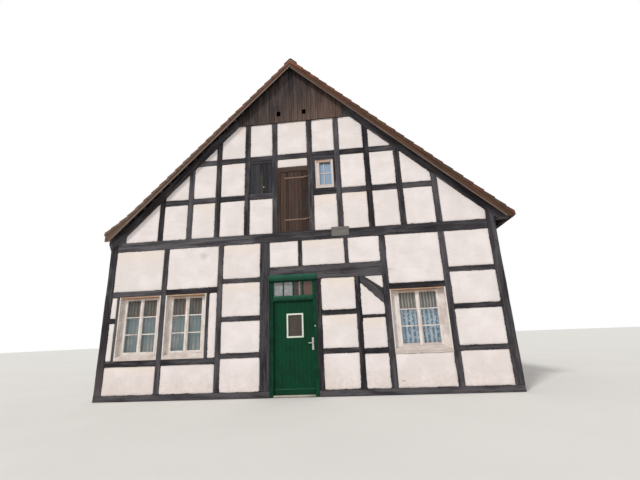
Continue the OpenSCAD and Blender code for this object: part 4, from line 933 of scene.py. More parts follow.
class TimberLook(PropertyGroup):
    chamfer: length_of("Chamfer", 0.007, "Width of the worn edges of the timbers")
    sway: length_of("Sway", 0.008, "How far a timber wanders from its straight line")
    dark: colour_of("Dark", rgb(22, 20, 24), "Colour of the sound, dark wood")
    light: colour_of("Light", rgb(61, 57, 61), "Colour of the lit fibres")
    grey: colour_of("Grey", rgb(112, 109, 113), "Colour of the greyed patches")
    peg_radius: length_of("Peg radius", 0.012, "Radius of the wooden pegs at the joints")


class PlasterLook(PropertyGroup):
    under: length_of("Reach under", 0.012, "How far the plaster reaches under the timbers")
    grid: length_of("Grid", 0.09, "Size of the facets of a panel")
    rim_depth: length_of("Rim depth", 0.008, "How far the rim of a panel is trowelled back")
    uneven: length_of("Unevenness", 0.0035, "How far the surface is out of flat")
    corner: length_of("Corner", 0.038, "Largest radius of a panel's corners")
    colour: colour_of("Limewash", rgb(240, 231, 230), "Colour of the clean limewash")
    shade: colour_of("Shade", rgb(229, 220, 217), "Colour of the duller areas")


class RoofLook(PropertyGroup):
    rows: IntProperty(name="Rows", description="Rows of tiles on a slope", default=24, min=10, max=30)
    first_row: length_of("First row", 0.07, "Distance of the first row from the ridge")
    tile_width: length_of("Tile width", 0.21, "Width that a tile covers")
    tile_thickness: length_of("Thickness", 0.012, "Thickness of a tile")
    tile_lift: length_of("Lift", 0.024, "How far the tile below lifts a tile's lower end")
    tile_lap: length_of("Lap", 0.075, "How far a tile lies over the next one")
    roll: length_of("Roll", 0.037, "Height of the wave across a tile")
    plate_drop: length_of("Side plate", 0.052, "How far a verge tile's side hangs below the battens' tops")
    plate_step: length_of("Side step", 0.008, "How far a verge tile's lower end stands out over the next one")
    heel: length_of("Heel", 0.085, "How far the last verge tile's side reaches past its end, over the board")
    colour: colour_of("Clay", rgb(134, 76, 56), "Colour of the redder tiles")
    dark: colour_of("Dark clay", rgb(90, 56, 45), "Colour of the darker tiles")
    aged: colour_of("Aged clay", rgb(80, 57, 46), "Colour of the tiles at the right slope's verge")
    dusty: colour_of("Dusty clay", rgb(114, 95, 80), "Colour of the tiles at the left slope's verge")
    moss: share_of("Moss", 0.75, "How strongly the moss shows")
    ridge_tile: length_of("Ridge tile", 0.4, "Length of a ridge tile")
    ridge_height: length_of("Ridge height", 0.098, "Height of the ridge tiles over the battens")
    ridge_radius: length_of("Ridge radius", 0.055, "Radius of the ridge tiles' rounded top")
    ridge_reach: length_of("Ridge reach", 0.15, "How far the ridge tiles reach down each slope")
    ridge_inset: length_of("Ridge inset", 0.03, "Distance of the ridge tiles' ends from the verges")


class BoardLook(PropertyGroup):
    strip_rise: length_of("Strip height", 0.027, "Height of the strips along the verge boards")
    strip_proud: length_of("Strip depth", 0.014, "How far the strips stand out from the verge boards")
    width: length_of("Width", 0.125, "Width of the boards in the gable")
    gap: length_of("Gap", 0.004, "Gap between the boards")
    dark: colour_of("Dark", rgb(32, 29, 32), "Colour of the dark gable boards")
    light: colour_of("Light", rgb(68, 59, 58), "Colour of their lighter fibres")
    brown: colour_of("Brown", rgb(42, 33, 32), "Colour of the hatch's boards")
    brown_light: colour_of("Light brown", rgb(74, 56, 49), "Colour of their worn fibres")


class JoineryLook(PropertyGroup):
    chamfer: length_of("Chamfer", 0.0025, "Width of the eased edges")
    white: colour_of("White", rgb(240, 234, 228), "Colour of the window paint")
    white_worn: colour_of("Worn white", rgb(196, 182, 176), "Colour of the dulled window paint")
    # Bare wood; on the window heads its darker colour is partly painted shade
    bare: colour_of("Bare wood", rgb(160, 112, 64), "Colour of the wood where the window paint has gone")
    green: colour_of("Green", rgb(2, 50, 29), "Colour of the door's paint")
    green_worn: colour_of("Worn green", rgb(7, 64, 42), "Colour of the faded paint")
    # Painted highlight: the pale green of the door's upper edges
    green_lit: colour_of("Pale green", rgb(50, 100, 82), "Colour of the paint on upper edges")


class CurtainLook(PropertyGroup):
    fold: length_of("Fold depth", 0.03, "Depth of the folds")
    valance: colour_of("Valance", rgb(100, 70, 42), "Colour of the left windows' upper curtains")
    light_valance: colour_of("Light valance", rgb(158, 146, 130), "Colour of the right window's top curtains")
    net: colour_of("Net", rgb(116, 128, 128), "Colour of the left windows' lower curtains")
    pale_net: colour_of("Pale net", rgb(156, 154, 146), "Colour of these curtains where light falls on them")
    lace: colour_of("Lace", rgb(188, 202, 212), "Colour of the right window's lower curtains")
    lace_ground: colour_of("Lace ground", rgb(76, 104, 126), "Colour between the threads of the lace")


class StageLook(PropertyGroup):
    sun: FloatProperty(name="Sun", description="Strength of the key light", default=1.75, min=0.0)
    sky: FloatProperty(name="Sky", description="Strength of the even light", default=0.62, min=0.0)
    floor: colour_of("Floor", rgb(226, 224, 220), "Colour of the floor")


# One operator for each piece or group of like pieces

class HOUSE_OT_timbers(Operator):
    """Weathered wall timbers, rafters, plates, ties and the repair block"""
    bl_idname = "house.timbers"
    bl_label = "Timbers"

    def execute(self, context):
        look = context.scene.house_timber
        oak = timber_finish("weathered_oak", look.dark, look.light, look.grey, 0.5, rgb(70, 52, 42))
        inner = timber_finish("sheltered_oak", rgb(62, 48, 38), rgb(104, 82, 64), rgb(112, 100, 90), 0.3)
        walls = {
            "front_timbers": ("front_posts", "front_rails", "door_lintel", "lintel_brace",
                              "front_storey_beam"),
            "gable_timbers": ("front_gable_studs", "front_gable_rails"),
            "sill_timbers": ("cross_sills", "side_sills"),
            "side_timbers": ("side_posts", "side_rails", "wall_plates"),
            "back_timbers": ("back_posts", "back_rails", "back_gable_studs", "back_gable_rails"),
        }
        for name, nodes in walls.items():
            dress(nodes, name, oak, "timber", look.chamfer, look.sway, marks=self.weathering)
        for name, nodes, wood, spacing in (
                ("rafters", ("rafters_left", "rafters_right"), oak, 0.3),
                ("ties_and_collars", ("tie_beams", "collar_beams"), inner, 0.4)):
            dress(nodes, name, wood, "timber", look.chamfer, look.sway, spacing)
        newer = timber_finish("newer_grey_oak", rgb(96, 93, 90), rgb(132, 128, 124), rgb(120, 118, 114), 0.4)
        dress(("beam_repair_block",), "repair_block", newer, "repair_timber", 0.004, 0.001, 0.1)
        return {"FINISHED"}

    @staticmethod
    def weathering(place, low, high):
        """Front timbers: a greyer stud, storey beam and door post, and a worn foot at the left corner."""
        upper = low.z > 3.5
        attic_stud = upper and low.x > 1.0 and high.x < 1.35
        storey_beam = upper and high.x - low.x > 9
        door_post = low.x > -1.1 and high.x < -0.6 and high.z > 3.0
        left_corner_post = high.x < -4.5 and high.z > 2.0
        right_corner_post = low.x > 4.3
        if place.y > FRONT_FACE + 0.3:
            return 0.0, 0.0
        if attic_stud or door_post:
            return 0.3, 0.0
        if storey_beam:
            return 0.7 if place.x < -1.0 else 0.1, 0.0
        if left_corner_post:
            foot = max(0.0, 1.0 - place.z / 1.3)
            return 0.55 * foot, 0.8 * foot
        return 0.12 if right_corner_post and place.z > 3.2 else 0.0, 0.0


class HOUSE_OT_pegs(Operator):
    """Round wooden pegs in the posts, beside the ends of the rails"""
    bl_idname = "house.pegs"
    bl_label = "Pegs"

    def execute(self, context):
        look = context.scene.house_timber
        side_posts = "side_posts", "back_posts", "front_posts"
        walls = (
            (FRONT, ("front_rails", "front_gable_rails"), ("front_posts", "front_gable_studs")),
            (BACK, ("back_rails", "back_gable_rails"), ("back_posts", "back_gable_studs")),
            (LEFT, ("side_rails",), side_posts),
            (RIGHT, ("side_rails",), side_posts),
        )
        parts, dice = Parts(), random.Random(5)
        # How far past a rail's end its peg stands, and how near a face has to lie to the wall's
        past_end, near = 0.045, 0.01
        for outward, rails, posts in walls:
            across = UP.cross(outward)
            face = max(corner.dot(outward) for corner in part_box("cross_sills"))
            carriers = spans(*posts)
            for low, high in spans(*rails):
                if abs(max(low.dot(outward), high.dot(outward)) - face) > near:
                    continue
                ends = sorted((low.dot(across), high.dot(across)))
                for end, way in ((ends[0], -1), (ends[1], 1)):
                    at = across * (end + way * past_end) + UP * ((low.z + high.z) / 2)
                    if any(self.holds(post, at, across, outward, face, near) for post in carriers):
                        self.peg(parts, at + outward * face, outward, look.peg_radius, dice)
        oak = timber_finish("peg_oak", rgb(52, 46, 42), rgb(92, 82, 74), rgb(112, 104, 98))
        parts.make("timber_pegs", oak, "timber", smooth=40)
        return {"FINISHED"}

    @staticmethod
    def holds(post, at, across, outward, face, near):
        """Whether a post carries this place with some wood round it."""
        (low, high), wood = post, 0.02
        a, b = sorted((low.dot(across), high.dot(across)))
        reaches = abs(max(low.dot(outward), high.dot(outward)) - face) < near
        return (reaches and a + wood < at.dot(across) < b - wood
                and low.z + wood < at.z < high.z - wood)

    @staticmethod
    def peg(parts, at, outward, radius, dice):
        """A split peg: eight sides, its end a little out of the wood."""
        side = UP.cross(outward)
        out, turn = dice.uniform(0.004, 0.012), dice.uniform(0, 1)
        rings = ((-0.02, 1.0), (out - 0.003, 1.0), (out, 0.8))
        points = [at + outward * depth + (side * math.cos(a) + UP * math.sin(a)) * radius * share
                  for depth, share in rings for a in [turn + i * math.pi / 4 for i in range(8)]]
        faces = web(3, 8, closed=True) + [tuple(range(16, 24))]
        parts.add(points, faces, tone=dice.random())


class HOUSE_OT_panels(Operator):
    """Limewashed plaster panels between the timbers"""
    bl_idname = "house.panels"
    bl_label = "Plaster panels"

    def execute(self, context):
        look = context.scene.house_plaster
        lime = plaster_finish(look, context.scene.house_timber.dark)
        plaster_panels(("front_wall_infill",), "front_panels", lime, look, lambda bm: FRONT)
        plaster_panels(("front_gable_infill",), "gable_panels", lime, look, lambda bm: FRONT)
        plaster_panels(("back_wall_infill", "back_gable_infill"), "back_panels", lime, look, lambda bm: BACK)
        plaster_panels(("side_wall_infill",), "side_panels", lime, look,
                       lambda bm: LEFT if middle(bm).x < 0 else RIGHT)
        return {"FINISHED"}


class HOUSE_OT_gable_boards(Operator):
    """Old upright boards at the top of both gables, and the verge boards with their strips"""
    bl_idname = "house.gable_boards"
    bl_label = "Gable and verge boards"

    def execute(self, context):
        look = context.scene.house_boards
        old = timber_finish("old_boards", look.dark, look.light, rgb(136, 116, 106), 0.25, rgb(92, 66, 52))
        verge = timber_finish("verge_boards", rgb(58, 38, 28), rgb(102, 71, 53), rgb(106, 86, 72), 0.3,
                              rgb(114, 98, 86))
        slot = "weathered_boards"
        plank(("gable_boarding",), "gable_boards", old, slot, RIGHT, look.width, look.gap, 0.003,
              uneven=0.003, drop=0.006, marks=self.painted_sun_and_shadow)
        dress(("verge_boards_left", "verge_boards_right"), "verge_boards", verge, slot, 0.003, 0.002, 0.2,
              shape=self.back_from_tiles, marks=self.lighter_left)
        dress(("roof_battens",), "battens", old, slot, 0.0)
        plank(("attic_floor",), "attic_floor_boards", old, slot, RIGHT, 0.22, 0.003, 0.0, 0.0, UP, uneven=0.0)
        pale = timber_finish("verge_strip", rgb(92, 78, 71), rgb(134, 118, 110), rgb(138, 128, 122), 0.3)
        parts, dice = Parts(), random.Random(9)
        for slope in (Slope(-1), Slope(1)):
            self.strips(parts, slope, look, dice)
        parts.make("verge_strips", pale, slot)
        return {"FINISHED"}

    @staticmethod
    def painted_sun_and_shadow(place, low, high):
        """The boards low on the right are painted lighter and browner as sunlit, the ones at the top left
        stay dark: painted light and shadow.
        """
        x, rise = (low.x + high.x) / 2, place.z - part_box("gable_boarding")[0].z
        # Painted sunlight and shadow: lighter towards the lower right, darker towards the top left.
        share = 0.5 + (x - RIDGE_X) * 0.45 - (rise - 0.35) * 0.75
        share = min(1.0, max(0.0, share + 0.25 * noise.noise(Vector((x * 9, place.z, 0)))))
        return 0.45 * share, 0.6 * share

    @staticmethod
    def lighter_left(place, low, high):
        return (0.15, 0.75) if place.x < RIDGE_X else (0.0, 0.0)

    @staticmethod
    def back_from_tiles(bm):
        """Sets the verge boards' outer faces back behind the tiles' side plates."""
        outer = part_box("verge_boards_left")[1].y
        for v in bm.verts:
            if abs(v.co.y) > outer - 0.001:
                v.co.y -= math.copysign(BOARD_BACK, v.co.y)

    @staticmethod
    def strips(parts, slope, look, dice):
        """The strips along the lower edges of both verge boards of one slope."""
        node = "verge_boards_left" if slope.side < 0 else "verge_boards_right"
        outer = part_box(node)[1].y - BOARD_BACK
        corners = {(round(v.co.x, 4), round(v.co.z, 4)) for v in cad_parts[node].data.vertices}
        lowest = min(z for x, z in corners)
        foot_x, foot_z = min((c for c in corners if c[1] < lowest + 0.001), key=lambda c: abs(c[0] - RIDGE_X))
        foot = Vector((foot_x, 0, foot_z)) - slope.start
        drop, end = slope.away.dot(foot), slope.down.dot(foot)
        heights, depths = (0.001, look.strip_rise), (look.strip_proud, -0.004)
        for way in (-1, 1):
            points = [slope.at(place, drop + h, way * (outer + depth), False)
                      for top in (True, False)
                      for h, place in [(h, slope.mitre(drop + h) if top else end - h) for h in heights]
                      for depth in depths]
            bar(parts, points, dice, 0.002, slope.down, 0.001)


class HOUSE_OT_tiles(Operator):
    """Pantiles on both slopes, verge tiles that hang over the boards, and the ridge tiles in mortar"""
    bl_idname = "house.tiles"
    bl_label = "Tiles"

    def execute(self, context):
        look = context.scene.house_roof
        clay = tile_finish(look)
        slopes = Slope(-1), Slope(1)
        verges = Parts()
        for slope in slopes:
            tiled_slope(slope, look, clay, verges)
        verges.make("verge_tiles", clay, "clay_tiles", smooth=40)
        self.ridge(look, clay, *slopes)
        return {"FINISHED"}

    @staticmethod
    def ridge(look, clay, left, right):
        """Ridge tiles with flanges, each one's collar over the end of the last, on a bed of mortar."""
        low, high = left.ends[0] + look.ridge_inset, left.ends[1] - look.ridge_inset
        count = round((high - low) / look.ridge_tile)
        step = (high - low) / count
        tiles, dice = Parts(), random.Random(23)
        proud, wide, edge, overlap, sunk_end = 0.010, 0.05, 0.006, 0.035, -0.004
        for k in range(count):
            y0 = low + k * step
            shift = Vector((dice.uniform(-0.003, 0.003), 0, dice.uniform(-0.002, 0.002)))
            end = min(y0 + step + overlap, high)
            rings = ((y0, proud), (y0 + wide, proud), (y0 + wide + edge, 0.0), (end, sunk_end))
            points = []
            for inner in (0.0, look.tile_thickness):
                for y, collar in rings:
                    profile = ridge_arc(left, right, look.ridge_height + collar - inner,
                                        look.ridge_radius - inner, look.ridge_reach + collar)
                    points += [p + shift + BACK * y for p in profile]
            n, m = len(profile), len(rings)
            faces = web(m, n) + web(m, n, start=m * n, flip=True)
            for j in range(m - 1):
                faces += [(j * n + i, (j + 1) * n + i, (m + j + 1) * n + i, (m + j) * n + i)
                          for i in (0, n - 1)]
            for j in (0, m - 1):
                faces += [(j * n + i, (m + j) * n + i, (m + j) * n + i + 1, j * n + i + 1)
                          for i in range(n - 1)]
            tiles.add(points, faces, tone=dice.random(), low_end=0.3, age=0.45)
        tiles.make("ridge_row", clay, "clay_tiles", ("ridge_tiles",), 40)
        bed, short = Parts(), 0.02
        upper, lower = look.ridge_reach - 0.05, look.ridge_reach
        heights = (0.02, lower), (look.ridge_height - 0.016, lower - 0.012)
        for slope in (left, right):
            corners = [slope.at(s, h, y) for y in (low + short, high - short)
                       for h, outer in heights for s in (upper, outer)]
            bar(bed, corners, dice, 0.006, BACK, 0.006, 0.08)
        # The mortar that closes both ends stands back from the tiles
        reach, sunk, back, deep = look.ridge_reach - 0.01, 0.014, 0.012, 0.05
        for y, inwards in ((low + back, BACK), (high - back, FRONT)):
            rim = ridge_arc(left, right, look.ridge_height - sunk, look.ridge_radius - sunk, reach)
            rim += [right.at(reach, 0.01, 0), left.at(reach, 0.01, 0)]
            n, near = len(rim), [p + BACK * y for p in rim]
            ends = [tuple(range(n)), tuple(range(2 * n - 1, n - 1, -1))]
            bed.add(near + [p + inwards * deep for p in near], ends + web(2, n, closed=True))
        bed.make("ridge_mortar", mortar_finish(), "clay_tiles", smooth=50)


# Widths of the members of the attic window's casement: left stile, right bead, head and foot
STILE, BEAD, HEAD, FOOT = 0.085, 0.02, 0.062, 0.045


class HOUSE_OT_windows(Operator):
    """Painted window frames and sashes with glazing bars, and the window glass"""
    bl_idname = "house.windows"
    bl_label = "Windows"

    def execute(self, context):
        look = context.scene.house_joinery
        white = paint_finish("window_paint", look.white, look.white_worn, bare=look.bare)
        for node in ("front_window_frames", "front_window_sashes", "attic_window", "rear_window_frames",
                     "rear_window_sashes"):
            dress((node,), "painted_" + node, white, "white_paint", look.chamfer, 0.0008, 0.4,
                  marks=self.wear)
        front = solids("front_window_glass")
        attic = max(front, key=lambda bm: limits(bm)[0].z)
        front.remove(attic)
        self.casement(white, *limits(attic))
        self.closing_beads(white)
        # Painted shadow: dark strips round the attic window and across its head
        self.attic_shadow_strips(*limits(attic))
        pane = glass_finish("window_pane", rgb(188, 206, 214), 0.07)
        sky_pane = glass_finish("attic_pane", rgb(142, 168, 194), 0.9)
        self.panes(front, "front_panes", pane, ("front_window_glass",))
        self.panes([attic], "attic_panes", sky_pane)
        coat("rear_window_glass", pane)
        return {"FINISHED"}

    @staticmethod
    def panes(sheets, name, finish, replaced=()):
        """Old panes: thin, with ground edges and a slightly uneven face."""
        parts, dice = Parts(), random.Random(name)
        edge, facet, uneven = 0.0006, 0.1, 0.0006
        for bm in sheets:
            ease(bm, edge)
            cut_every(bm, RIGHT, facet)
            cut_every(bm, UP, facet)
            offset = somewhere(dice)
            for v in bm.verts:
                v.co.y += uneven * noise.noise((v.co + offset) * 5)
            parts.add_mesh(bm, tone=dice.random())
        parts.make(name, finish, "window_glass", replaced)

    @staticmethod
    def attic_shadow_strips(pane_low, pane_high):
        """Dark oak strips that close the gaps round the attic window and lie across its head: painted shadow
        of the recess.
        """
        low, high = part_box("attic_window")
        studs = spans("front_gable_studs")
        left = max(b.x for a, b in studs if b.x <= low.x + 0.001)
        right = min(a.x for a, b in studs if a.x >= high.x - 0.001)
        face, thick = FRONT_FACE + 0.004, 0.03
        into, foot, top, band = 0.01, low.z - 0.005, high.z + 0.008, 0.034
        across = low.x + 0.016, high.x + 0.002
        head = pane_high.z - HEAD
        parts, dice = Parts(), random.Random(63)
        # Each strip is a dark thing put where the window's recess lies in shade: painted shadow.
        for (x0, x1), (z0, z1), y in (
                ((left - into, low.x + 0.018), (foot, top), face),
                ((high.x + 0.001, right + into), (foot, top), face),
                (across, (high.z - band, top), face),
                (across, (foot, low.z + band), low.y - 0.004),
                ((pane_low.x + STILE, pane_high.x - BEAD), (head - 0.028, head), low.y + 0.010)):
            add_strip(parts, dice, (x0, y, z0), (x1, y + thick, z1), sway=0.002, spacing=0.1)
        parts.make("attic_window_shadow_strips", bpy.data.materials["weathered_oak"], "timber")

    @staticmethod
    def wear(place, low, high):
        """Bare wood on the heads, partly painted shade, greyed sills, and the attic window's frame greyed as
        painted shade.
        """
        wide, tall = high.x - low.x, high.z - low.z
        attic, level = low.z > 4, wide > 0.3
        head = level and low.z > (5.8 if attic else 2.2)
        sill = level and high.z < 1.08
        glazing_bar = wide < 0.2 and tall < 0.1 or tall < 0.04
        if place.y > 0:
            return 0.2, 0.0
        # Painted shade: the attic window's frame takes the greyer worn white all over.
        if attic:
            return (0.9, 0.5) if head else (1.0, 0.0)
        # Heads: worn white and bare wood, the bare colour partly painted shade.
        if head:
            return 0.4, 0.9 if wide > 0.7 else 0.35
        if sill:
            return 0.9 if low.x > 0 else 0.5, 0.1
        if glazing_bar:
            return 0.0, 0.0
        return 0.35 if low.x > 3.4 else 0.3, 0.0

    @staticmethod
    def casement(white, low, high):
        """The attic window's casement inside its frame: four rails with a rebate, wider on the left."""
        parts, dice = Parts(), random.Random(61)
        y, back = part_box("attic_window")[0].y + 0.008, low.y - 0.002
        left, right, head = low.x + STILE, high.x - BEAD, high.z - HEAD
        # All four rails take the greyer worn white: painted shade, as on the attic frame.
        for (x0, z0), (x1, z1), brown in (
                ((low.x, low.z), (left, head), 0.0),
                ((right, low.z), (high.x, head), 0.0),
                ((low.x, head), (high.x, high.z), 0.7),
                ((left, low.z), (right, low.z + FOOT), 0.0)):
            add_strip(parts, dice, (x0, y, z0), (x1, back, z1), worn=1.0, brown=brown)
        parts.make("attic_casement", white, "white_paint")

    @staticmethod
    def closing_beads(white):
        """Rounded closing beads where the two leaves of each window meet."""
        parts, dice = Parts(), random.Random(62)
        half, proud, sunk, short = 0.016, 0.010, 0.002, 0.01
        stile_height, stile_width, joint = 0.8, 0.06, 0.02
        for node in ("front_window_sashes", "rear_window_sashes"):
            stiles = [(low, high) for low, high in spans(node)
                      if high.z - low.z > stile_height and high.x - low.x < stile_width]
            stiles.sort(key=lambda stile: stile[0].x)
            for (a_low, a_high), (b_low, _) in zip(stiles, stiles[1:]):
                if b_low.x - a_high.x > joint:
                    continue
                outer, out = (a_low.y, -1) if node.startswith("front") else (a_high.y, 1)
                x, y = (a_high.x + b_low.x) / 2, sorted((outer - out * sunk, outer + out * proud))
                bm = box_shape((x - half, y[0], a_low.z + short), (x + half, y[1], a_high.z - short))
                ease(bm, 0.006, 2)
                add_member(parts, bm, dice, 0.0, UP)
        parts.make("closing_beads", white, "white_paint", smooth=40)


class HOUSE_OT_attic_closures(Operator):
    """Boarded attic hatch in its frame, with its straps and pins, and the boarded shutter beside it"""
    bl_idname = "house.attic_closures"
    bl_label = "Attic hatch and shutter"

    def execute(self, context):
        look = context.scene.house_boards
        slot = "brown_boards"
        brown = timber_finish("hatch_boards", look.brown, look.brown_light, rgb(96, 84, 78), 0.25,
                              rgb(102, 74, 54))
        plank(("attic_hatch",), "hatch_boards", brown, slot, RIGHT, 0.085, 0.004, 0.003, uneven=0.0015,
              marks=self.left_board)
        dress(("attic_hatch_frame",), "hatch_frame", brown, slot, 0.005, 0.002, 0.2)
        black = timber_finish("shutter_boards", rgb(34, 32, 38), rgb(60, 56, 62), rgb(84, 90, 84), 0.25,
                              rgb(74, 78, 62))
        plank(("attic_shutter",), "shutter_boards", black, slot, RIGHT, 0.12, 0.004, 0.003, uneven=0.001,
              marks=self.streak)
        # The straps' bare colour is the dark of the painted shade on their lower edges.
        worn_iron = paint_finish("worn_straps", rgb(120, 94, 80), rgb(146, 118, 102), 2.0, 0.6,
                                 rgb(62, 50, 44))
        dress(("attic_irons",), "attic_ironwork", worn_iron, "iron", 0.0015, tone=0.5, marks=self.shaded_edge)
        self.hooks(worn_iron)
        self.knob(paint_finish("pale_knob", rgb(206, 202, 190), rgb(186, 184, 168)))
        return {"FINISHED"}

    @staticmethod
    def left_board(place, low, high):
        """The two boards on the left of the hatch are browner than the others."""
        two_boards = 0.13
        return (0.0, 0.35) if low.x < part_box("attic_hatch")[0].x + two_boards else (0.0, 0.08)

    @staticmethod
    def streak(place, low, high):
        """A faint green streak in the middle of the shutter."""
        x, half, top = -0.86, 0.07, 5.55
        inside = abs((low.x + high.x) / 2 - x) < half and place.z < top
        return 0.0, 0.7 if inside else 0.0

    @staticmethod
    def shaded_edge(place, low, high):
        """Painted shade on the lower edges, and a little wear elsewhere."""
        edge = 0.006
        return (0.0, 0.9) if place.z < low.z + edge else (0.3, 0.0)

    @staticmethod
    def hooks(iron):
        """The round pins that the hatch's straps hang on: out of the post, across and up."""
        parts, shortest_strap = Parts(), 0.3
        bends = (-0.03, 0), (0.045, 0), (0.058, 0.012), (0.060, 0.055)
        for low, high in spans("attic_irons"):
            if high.x - low.x < shortest_strap:
                continue
            place = Vector((high.x, FRONT_FACE - 0.016, (low.z + high.z) / 2))
            ring(parts, [place + RIGHT * across + UP * up for across, up in bends], 0.009)
            root = place + RIGHT * 0.05
            ring(parts, [root + BACK * 0.03, root + FRONT * 0.004], 0.010)
        parts.make("hatch_hooks", iron, "iron", smooth=50)

    @staticmethod
    def knob(paint):
        """The knob at the lower left of the shutter."""
        parts, x, z, root, end = Parts(), -0.788, 5.212, -5.975, -5.998
        ring(parts, [Vector((x, y, z)) for y in (root, end)], 0.020, taper=0.7)
        parts.make("shutter_knob", paint, "iron", smooth=50)


class HOUSE_OT_door(Operator):
    """Green door frame, boarded leaf, weather board, beading, hinges, plates and lever"""
    bl_idname = "house.door"
    bl_label = "Door"

    def execute(self, context):
        look = context.scene.house_joinery
        # The door's bare colour is the pale green of the painted highlight on upper edges.
        coats = {"rough": 0.6, "bare": look.green_lit, "gloss": 0.15}
        green = paint_finish("door_paint", look.green, look.green_worn, **coats)
        frame_green = paint_finish("frame_paint", look.green_worn, rgb(3, 44, 28), **coats)
        mint = paint_finish("bead_paint", rgb(228, 233, 219), rgb(208, 216, 200))
        iron, steel = shared_iron(), steel_finish()
        dress(("door_jambs", "door_head"), "door_frame", frame_green, "green_paint", look.chamfer, 0.0008,
              0.3, marks=self.lit_edges)
        dress(("door_leaf",), "leaf_boards", green, "green_paint", 0.0012, body="door")
        dress(("door_weather_board",), "weather_board", green, "green_paint", 0.004, body="door", segments=2,
              marks=self.lit_edges)
        dress(("door_window_beading",), "leaf_beading", mint, "white_paint", 0.002, body="door")
        dress(("door_hinge_straps",), "leaf_straps", iron, "iron", 0.0012, body="door", smooth=40)
        dress(("hinge_pintles",), "pintles", iron, "iron", 0.001, smooth=40)
        dress(("door_lock_plates",), "lock_plates", steel, "door_steel", 0.001, body="door", smooth=40)
        dress(("door_lever",), "lever", steel, "door_steel", 0.002, body="lever", segments=2, smooth=50)
        coat("door_window_glass", glass_finish("leaf_pane", rgb(62, 50, 41), 0.92))
        coat("transom_glass", self.transom_panes())
        stone = stone_finish("threshold_stone", rgb(188, 182, 170), rgb(150, 142, 130))
        # Painted shade on the threshold's lower half
        dress(("door_threshold",), "threshold", stone, "stone", 0.004, 0.001, 0.2, marks=self.painted_low_shade)
        self.bell(mint)
        return {"FINISHED"}

    @staticmethod
    def painted_low_shade(place, low, high):
        """Painted shade on the lower half of the threshold."""
        return 0.0, 0.9 if place.z < (low.z + high.z) / 2 else 0.0

    @staticmethod
    def lit_edges(place, low, high):
        """Painted highlight on the upper part of the cap and on upper edges; painted shade low on the cap."""
        if high.x - low.x < 0.5:
            return 0.15, 0.0
        if low.z > 2.6:
            up = (place.z - low.z) / (high.z - low.z)
            return 1.0 - up, 0.9 if up > 0.5 else 0.0
        return 0.0, 0.7 if place.z > high.z - 0.012 else 0.0

    @staticmethod
    def transom_panes():
        """The four panes over the door: two pale with net behind, one dark with a light strip, one brown."""
        f = Finish("transom_panes", Roughness=0.08, Alpha=0.88, IOR=1.5)
        place = f.place()
        x = f.part(place, "X")
        low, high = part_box("transom_glass")
        share = f.math("DIVIDE", f.sum(x, -low.x), high.x - low.x)
        soft = f.noise(f.stretch(place, 30, 1, 9), 1, 4, 0.6)
        pale = f.mix(f.between(soft, 0.35, 0.65), rgb(128, 134, 136), rgb(168, 170, 170))
        dark = f.mix(f.between(soft, 0.35, 0.65), rgb(44, 38, 36), rgb(74, 64, 60))
        panes = f.mix(f.between(share, 0.48, 0.5), pale, dark)
        strip = f.between(f.math("ABSOLUTE", f.sum(share, -0.665)), 0.012, 0.03, 1, 0)
        panes = f.over(panes, rgb(150, 138, 124), strip, 0.8)
        f.colour(f.mix(f.between(share, 0.745, 0.76), panes, rgb(98, 76, 64)))
        f.old_glass(place)
        return f.material

    @staticmethod
    def bell(paint):
        """A small round bell push on the right jamb."""
        face, x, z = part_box("door_jambs")[0].y, 0.468, 1.55
        parts = Parts()
        for back, front, radius, taper in ((-0.004, 0.006, 0.017, 0.85), (0.004, 0.010, 0.008, 0.8)):
            ring(parts, [Vector((x, face - out, z)) for out in (back, front)], radius, taper=taper)
        parts.make("bell_push", paint, "white_paint", smooth=50)


class HOUSE_OT_curtains(Operator):
    """Short gathered curtains behind the top panes and nets behind the lower panes"""
    bl_idname = "house.curtains"
    bl_label = "Curtains"

    def execute(self, context):
        look = context.scene.house_curtains
        coat("curtain_rods", shared_iron())
        spaces = sorted(spans("window_curtains"), key=lambda s: (round(s[0].x, 2), -s[0].z))
        for i, (low, high) in enumerate(spaces):
            upper, right = i % 2 == 0, low.x > 0
            kind, side = "valance" if upper else "net", "_right" if right else "_left_%d" % (i // 2 + 1)
            # 0.25 and 0.84 set how dark the painted shade in the folds goes; the pale colour is painted
            # light.
            if upper:
                colour = look.light_valance if right else look.valance
                cloth = cloth_finish(kind + side, colour, 0.25, pale=None if right else shaded(colour, 1.5))
            elif right:
                cloth = cloth_finish(kind + side, look.lace, 0.84, 0.95, look.lace_ground)
            else:
                cloth = cloth_finish(kind + side, look.net, 0.84, 0.9, pale=look.pale_net)
            fold = look.fold * (1 if upper else 0.45)
            pleat = 0.11 if not upper else 0.075 if right else 0.09
            parts, dice = Parts(), random.Random(31 + i)
            gap = 0.012
            pleated(parts, (low.x + gap, high.x - gap), (low.z + gap, high.z - 0.001),
                    (low.y + high.y) / 2, round((high.x - low.x) / pleat), fold, dice)
            piece = parts.make(kind + side, cloth, "curtain_cloth",
                               () if i else ("window_curtains",), 180)
            area, height = sheet_area(piece), high.z - low.z - gap
        return {"FINISHED"}


class HOUSE_OT_floors(Operator):
    """Stone slabs on the ground floor"""
    bl_idname = "house.floors"
    bl_label = "Floors"

    def execute(self, context):
        coat("ground_floor", stone_finish("floor_slabs", rgb(164, 152, 136), rgb(128, 116, 102), 0.6))
        return {"FINISHED"}


